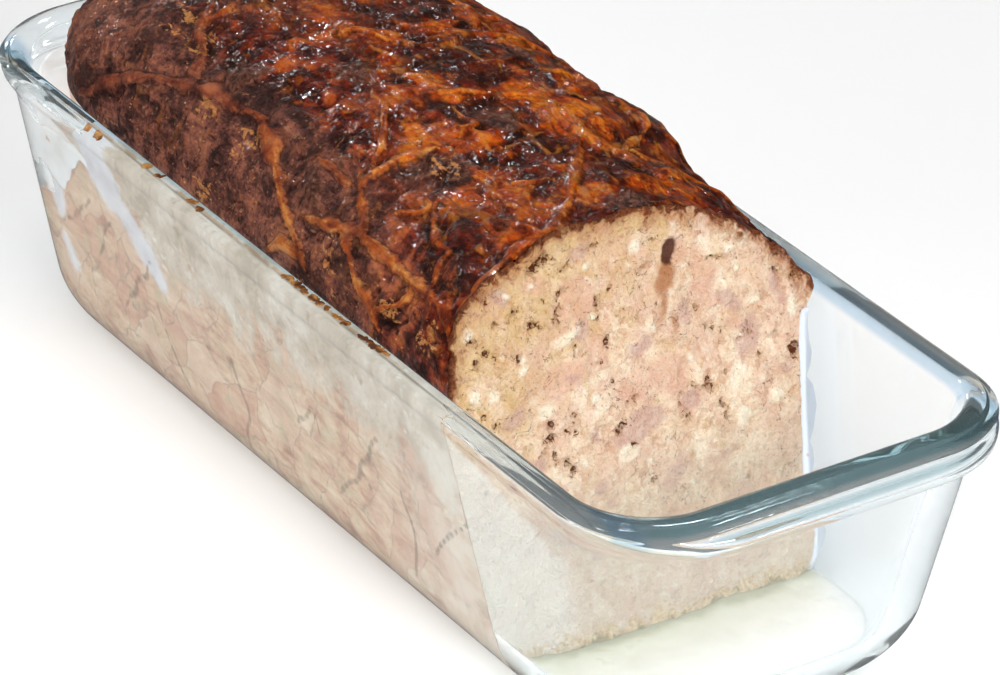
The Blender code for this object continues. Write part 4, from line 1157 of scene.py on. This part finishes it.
def build_terrine(crust, cut, side):
    depths = station_depths()
    grid = fit_into_dish([loaf_ring(depth) for depth in depths])
    dome = slice(DOME_START, DOME_START + DOME_STEPS + 1)
    turn = np.broadcast_to(np.linspace(1, -1, DOME_STEPS + 1), (len(depths), DOME_STEPS + 1))
    depth = np.broadcast_to(depths[:, None], turn.shape)
    relief, crust_values = crust_fields(grid[:, dome], depth, turn)
    relief = relief * smooth(0.0, 0.10, 1 - np.abs(turn)) * smooth(0.0, 18 * MM, depth)
    normals = grid_normals(grid)[:, dome]
    at_cut = smooth(6 * MM, 0.0, LOAF_LENGTH - depth)
    normals[..., 0] *= 1 - at_cut
    grid[:, dome] += normals * relief[..., None]
    grid[..., 2] = np.minimum(grid[..., 2], CREST_Z)

    right = slice(FLOOR_STEPS + 8, DOME_START)
    ragged = 0.7 * MM * rough_noise(grid[:, right], 4 * MM, 3, 101)
    grid[:, right, 1] += ragged * smooth(0.25, 0.5, grid[:, right, 2] / RIM_Z)

    ring_count, size = grid.shape[:2]
    outline = grid[-1]
    face_points, face_triangles = filled_outline(outline[:, 1:], FACE_SPACING)
    far_points, far_triangles = filled_outline(grid[0][:, 1:], FAR_SPACING)
    face_relief, face_values = cut_fields(*face_points.T, outline)
    body_count, last = ring_count * size, (ring_count - 1) * size
    far_first = body_count + len(face_points)
    cut_faces = np.where(face_triangles < size, face_triangles + last, face_triangles - size + body_count)
    far_faces = np.where(far_triangles < size, far_triangles, far_triangles - size + far_first)
    column = np.tile(np.arange(size), ring_count - 1)
    on_dome = (column >= DOME_START) & (column < DOME_START + DOME_STEPS)
    counts = [len(cut_faces), len(far_faces)]
    indices = np.concatenate([np.where(on_dome, 0, 2), np.repeat([1, 2], counts)])

    cut_points = np.column_stack([cut_x(face_points[:, 1]) + face_relief, face_points])
    cap_points = np.column_stack([far_x(far_points[:, 1]), far_points])
    points = np.concatenate([grid.reshape(-1, 3), cut_points, cap_points])
    faces = [*ring_quads(ring_count, size)[:, ::-1], *cut_faces, *far_faces[:, ::-1]]
    obj = new_piece("terrine_loaf", points, faces, [crust, cut, side], "terrine", indices)
    point_outwards(obj)

    def add_fields(fields, part, on_face=None):
        """Fields of a part of the grid, and of the cut where they are given for it."""
        for name, values in fields.items():
            whole = np.full(grid.shape[:2], -3.0 if name in FROM_MINUS_3 else 0.0)
            whole[part] = values
            on_cut = np.zeros(len(face_points)) if on_face is None else on_face[name]
            add_field(obj, name, np.concatenate([whole.ravel(), on_cut, np.zeros(len(far_points))]))

    add_fields(crust_values, np.s_[:, dome])
    add_fields(side_fields(grid), np.s_[:])
    add_fields(cut_fields(*outline[:, 1:].T, outline)[1], -1, face_values)


# --- fat --------------------------------------------------------------------------------


FAT_TOP_DROP_RIGHT, FAT_TOP_DROP_FAR = 11.5 * MM, 5.0 * MM
FAT_FOOT = 8 * MM
FAT_LEAST = 0.7 * MM  # on the left its foot rises to where the gap is this wide


def outward_reach(start, across, limit=40 * MM):
    """How far a level line runs from points before it is in the glass."""
    near, far = np.zeros(len(start)), np.full(len(start), limit)
    for _ in range(24):
        middle = (near + far) / 2
        there = start + across * middle[:, None]
        free = np.linalg.norm(fit_into_dish(there) - there, axis=1) < 1e-9
        near, far = np.where(free, middle, near), np.where(free, far, middle)
    return near


def fat_stations():
    """(depth, side, outward direction) of each ring of the fat, from the cut round the far end."""
    stations = [(d, 1, (0.0, 1.0)) for d in np.linspace(LOAF_LENGTH, FAR_CORNER_X, 90)]
    turns = np.linspace(0, math.pi / 2, 60)[1:]
    stations += [(FAR_CORNER_X * (1 - math.sin(t)), 1, (-math.sin(t), math.cos(t))) for t in turns]
    left = [(FAR_CORNER_X * (1 - math.cos(t)), -1, (-math.cos(t), -math.sin(t))) for t in turns[:-6]]
    return stations + left


def fat_foot(depth, side, direction, top):
    """Lowest height at which the gap beside the loaf is wide enough for fat to show in it."""
    if side > 0:
        return FAT_FOOT
    z = np.linspace(FAT_FOOT, top - 2 * MM, 60)
    wall = np.column_stack([loaf_x(depth, z), side * (loaf_half_y(depth, z, side) - INTO_GLASS), z])
    gap = outward_reach(wall, np.broadcast_to([*direction, 0.0], wall.shape))
    wide = (gap > FAT_LEAST) & (z > 45 * MM * float(smooth(0.0, 9 * MM, depth)))
    return float(z[wide][0]) if wide.any() else float(z[-1])


def build_set_fat(material):
    levels, top_steps = 24, 8
    rings = []
    for number, (depth, side, direction) in enumerate(fat_stations()):
        far = float(1 - smooth(0.1 * FAR_CORNER_X, 0.45 * FAR_CORNER_X, depth))
        at_cut = float(smooth(16 * MM, 0.0, LOAF_LENGTH - depth))
        x_here = float(loaf_x(depth, RIM_Z))
        place = np.array([[x_here, side * 50 * MM + number * 0.1 * MM, 0.0]])
        top = RIM_Z - mix(FAT_TOP_DROP_RIGHT, FAT_TOP_DROP_FAR, far)
        top += float(1.3 * MM * rough_noise(place, 9 * MM, 3, 111)[0]) - 0.6 * MM + 6 * MM * at_cut
        foot = fat_foot(depth, side, direction, top)
        foot += float(2.5 * MM * rough_noise(place, 5 * MM, 3, 113)[0]) if side < 0 else 0.0
        z = np.linspace(min(foot, top - 2 * MM), top, levels)
        past = 0.5 * MM if number == 0 else 0.0  # out of the cut's plane
        y = side * (loaf_half_y(depth, z, side) - INTO_GLASS)
        inner = np.column_stack([loaf_x(depth, z) + past, y, z])
        across = np.array([*direction, 0.0])
        reach = outward_reach(inner, np.broadcast_to(across, inner.shape))
        ragged = 0.62 - 0.36 * rough_noise(np.column_stack([z, z * 0]), 5 * MM, 3, 114)
        outer = inner + across * (reach * (1 - at_cut * np.clip(ragged, 0.2, 0.95)))[:, None]
        sunk = inner - across * 0.8 * MM
        shares = np.linspace(0, 1, top_steps + 2)[1:-1, None]
        cap = sunk[-1] * (1 - shares) + outer[-1] * shares
        cap[:, 2] += 0.9 * MM * rough_noise(cap, 6 * MM, 3, 112) * np.sin(math.pi * shares[:, 0])
        rings.append(np.concatenate([sunk, cap, outer[::-1]]))
    lofted("set_fat_layer", rings, material, "set_fat")


POOL_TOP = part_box("floor_fat")[1].z


def build_floor_fat(material):
    stations, across_steps = 60, 60
    rings = []
    for step in range(stations + 1):
        t = math.sin(math.pi / 2 * step / stations)
        ring = []
        for top in (False, True):
            z = POOL_TOP if top else FLOOR_Z - INTO_GLASS
            half_x, half_y, corner = (float(v) for v in cavity_outline(z))
            x = mix(float(cut_x(z)) - 1.0 * MM, half_x + 0.2 * MM, t)
            past = max(x - (half_x - corner), 0.0) / corner
            half = half_y + INTO_GLASS - corner * (1 - math.sqrt(max(1 - past**2, 0.0)))
            y = np.linspace(-half, half, across_steps)
            row = np.column_stack([np.full(across_steps, x), y, np.full(across_steps, z)])
            if top:
                row[:, 2] += 0.35 * MM * rough_noise(row, 12 * MM, 3, 121) - 0.3 * MM
                ring.append(row[::-1])
            else:
                ring.append(fit_into_dish(row))
        rings.append(np.concatenate(ring))
    obj = lofted("floor_fat_pool", rings, material, "floor_fat")
    obj.data.set_sharp_from_angle(angle=math.radians(40))


# --- crumbs -----------------------------------------------------------------------------


# Browned bits stuck on the left rim, in millimetres: (from, to along X, outer, inner edge in Y, how many).
RIM_CRUMBS = (
    (-84, -77, -54.4, -53.8, 6), (-61, -52, -53.0, -52.2, 8), (-40, -33, -53.0, -52.2, 5),
    (2, 29, -53.0, -52.1, 34), (35, 47, -53.0, -52.1, 16),
)  # fmt: skip


def rim_height(y):
    """Height of the glass rim's top along its left side."""
    return RIM_Z - 1.2 * MM * smooth(-53.4 * MM, -55.2 * MM, y)


def build_rim_crumbs(material):
    """Flat browned crumbs on the rim, half sunk into it."""
    random = np.random.default_rng(17)
    steps_up, steps_round = 5, 9
    points, faces = [], []
    for start, end, outer, inner, count in RIM_CRUMBS:
        for _ in range(count):
            x, y = random.uniform(start, end) * MM, random.uniform(outer, inner) * MM
            long, wide, tall = random.uniform(0.5, 1.2), random.uniform(0.6, 1.1), random.uniform(0.04, 0.10)
            turn = random.uniform(-0.3, 0.3)
            first = len(points)
            for step in range(steps_up + 1):
                lift, girth = -math.cos(math.pi * step / steps_up), math.sin(math.pi * step / steps_up) + 0.02
                for i in range(steps_round):
                    angle = math.tau * i / steps_round
                    reach = girth * (1 + 0.3 * random.uniform(-1, 1))
                    along, across = long * reach * math.cos(angle), wide * reach * math.sin(angle)
                    at_y = y + (across * math.cos(turn) + along * math.sin(turn) * 0.4) * MM
                    at_x = x + along * math.cos(turn) * MM
                    points.append((at_x, at_y, float(rim_height(at_y)) + tall * lift * MM))
            faces += list(ring_quads(steps_up + 1, steps_round, first))
            ends = np.arange(first, first + steps_round)
            faces += [ends[::-1], ends + steps_up * steps_round]
    new_piece("rim_crumbs", points, faces, [material], None)


# --- stage, light and camera ------------------------------------------------------------


FLOOR_HALF, FLOOR_GAP = 4.0, 0.2 * MM


def add_floor():
    mesh = bpy.data.meshes.new("floor")
    corners = [(FLOOR_HALF * x, FLOOR_HALF * y, 0) for x, y in ((-1, -1), (1, -1), (1, 1), (-1, 1))]
    mesh.from_pydata(corners, [], [(0, 1, 2, 3)])
    mesh.materials.append(floor_material())
    floor = add_object("floor", mesh)
    floor.location.z = -FLOOR_GAP
    floor.visible_glossy = False


LAMP_TARGET = Vector((0, 0, 0.06))


def add_area(name, location, size, power, diffuse=True, glossy=True):
    """A softbox towards the dish, for matt surfaces, for reflections, or for both."""
    light = bpy.data.lights.new(name, "AREA")
    light.shape = "RECTANGLE"
    light.size, light.size_y = size
    light.energy = power
    obj = add_object(name, light)
    obj.location = location
    obj.rotation_euler = (LAMP_TARGET - Vector(location)).to_track_quat("-Z", "Y").to_euler()
    obj.visible_diffuse, obj.visible_glossy = diffuse, glossy


def add_world():
    """Near white round the horizon, and darker overhead, so that wet surfaces keep their depth."""
    world = bpy.data.worlds.new("studio")
    world.use_nodes = True
    tree = world.node_tree
    height = tree.nodes.new("ShaderNodeSeparateXYZ")
    tree.links.new(tree.nodes.new("ShaderNodeTexCoord").outputs["Generated"], height.inputs[0])
    ramp = tree.nodes.new("ShaderNodeValToRGB")
    tree.links.new(height.outputs["Z"], ramp.inputs[0])
    for stop, (position, grey) in zip(ramp.color_ramp.elements, ((0.05, 0.14), (0.4, 0.03))):
        stop.position, stop.color = position, (grey, grey, grey, 1)
    lit = tree.nodes.new("ShaderNodeMix")
    lit.data_type = "RGBA"
    tree.links.new(tree.nodes.new("ShaderNodeLightPath").outputs["Is Transmission Ray"], lit.inputs[0])
    tree.links.new(ramp.outputs["Color"], lit.inputs[6])
    lit.inputs[7].default_value = (0.9, 0.9, 0.9, 1)
    tree.links.new(lit.outputs[2], tree.nodes["Background"].inputs["Color"])
    bpy.context.scene.world = world


CAMERA_AZIMUTH, CAMERA_ELEVATION, CAMERA_ROLL = 56.206, 29.758, 0.972
CAMERA_TARGET, CAMERA_DISTANCE = Vector((0.0507, -0.0259, 0.0700)), 1.3159
CAMERA_LENS = 213.05


def add_camera():
    turn, tilt, roll = (math.radians(v) for v in (CAMERA_AZIMUTH, CAMERA_ELEVATION, CAMERA_ROLL))
    back = Vector((math.sin(turn) * math.cos(tilt), -math.cos(turn) * math.cos(tilt), math.sin(tilt)))
    right = (-back).cross(Vector((0, 0, 1))).normalized()
    up = right.cross(-back)
    across = right * math.cos(roll) + up * math.sin(roll)
    upward = up * math.cos(roll) - right * math.sin(roll)
    camera = bpy.data.cameras.new("camera")
    camera.lens = CAMERA_LENS
    camera.clip_start = 0.01
    obj = add_object("camera", camera)
    rotation = Matrix((across, upward, back)).transposed()
    obj.matrix_world = Matrix.Translation(CAMERA_TARGET + back * CAMERA_DISTANCE) @ rotation.to_4x4()
    bpy.context.scene.camera = obj


# Small lights that show in wet surfaces alone, and their widths in metres.
GLINT_POWER = 170.0  # for each square metre
GLINTS = (
    ((-0.60, 0.55, 0.90), 0.10), ((-1.00, -0.25, 0.50), 0.10), ((-0.1, -0.9, 1.3), 0.11),
    ((-0.35, 0.1, 1.3), 0.11), ((0.55, 0.60, 1.05), 0.09), ((-1.00, 0.25, 0.40), 0.09),
)  # fmt: skip


def main():
    build_dish(glass_material())
    build_terrine(crust_material(), cut_material(), side_material())
    build_set_fat(fat_material())
    build_floor_fat(pool_material())
    build_rim_crumbs(crumb_material())
    add_floor()
    add_world()
    add_area("overhead", (0.1, -0.55, 1.7), (1.8, 1.8), 32.0, glossy=False)
    add_area("cut", (1.5, 0.0, 0.55), (0.9, 0.6), 20.5, glossy=False)
    add_area("front", (-0.1, -1.6, 0.55), (1.6, 0.8), 9.0, glossy=False)
    add_area("key", (0.75, 0.35, 1.05), (0.25, 0.25), 1.5, glossy=False)
    for number, (place, size) in enumerate(GLINTS):
        add_area(f"glint_{number}", place, (size, size * 0.6), GLINT_POWER * size**2, diffuse=False)
    bpy.context.scene.view_settings.view_transform = "Standard"
    cycles = bpy.context.scene.cycles
    cycles.max_bounces = cycles.transmission_bounces = cycles.transparent_max_bounces = 32
    add_camera()


main()
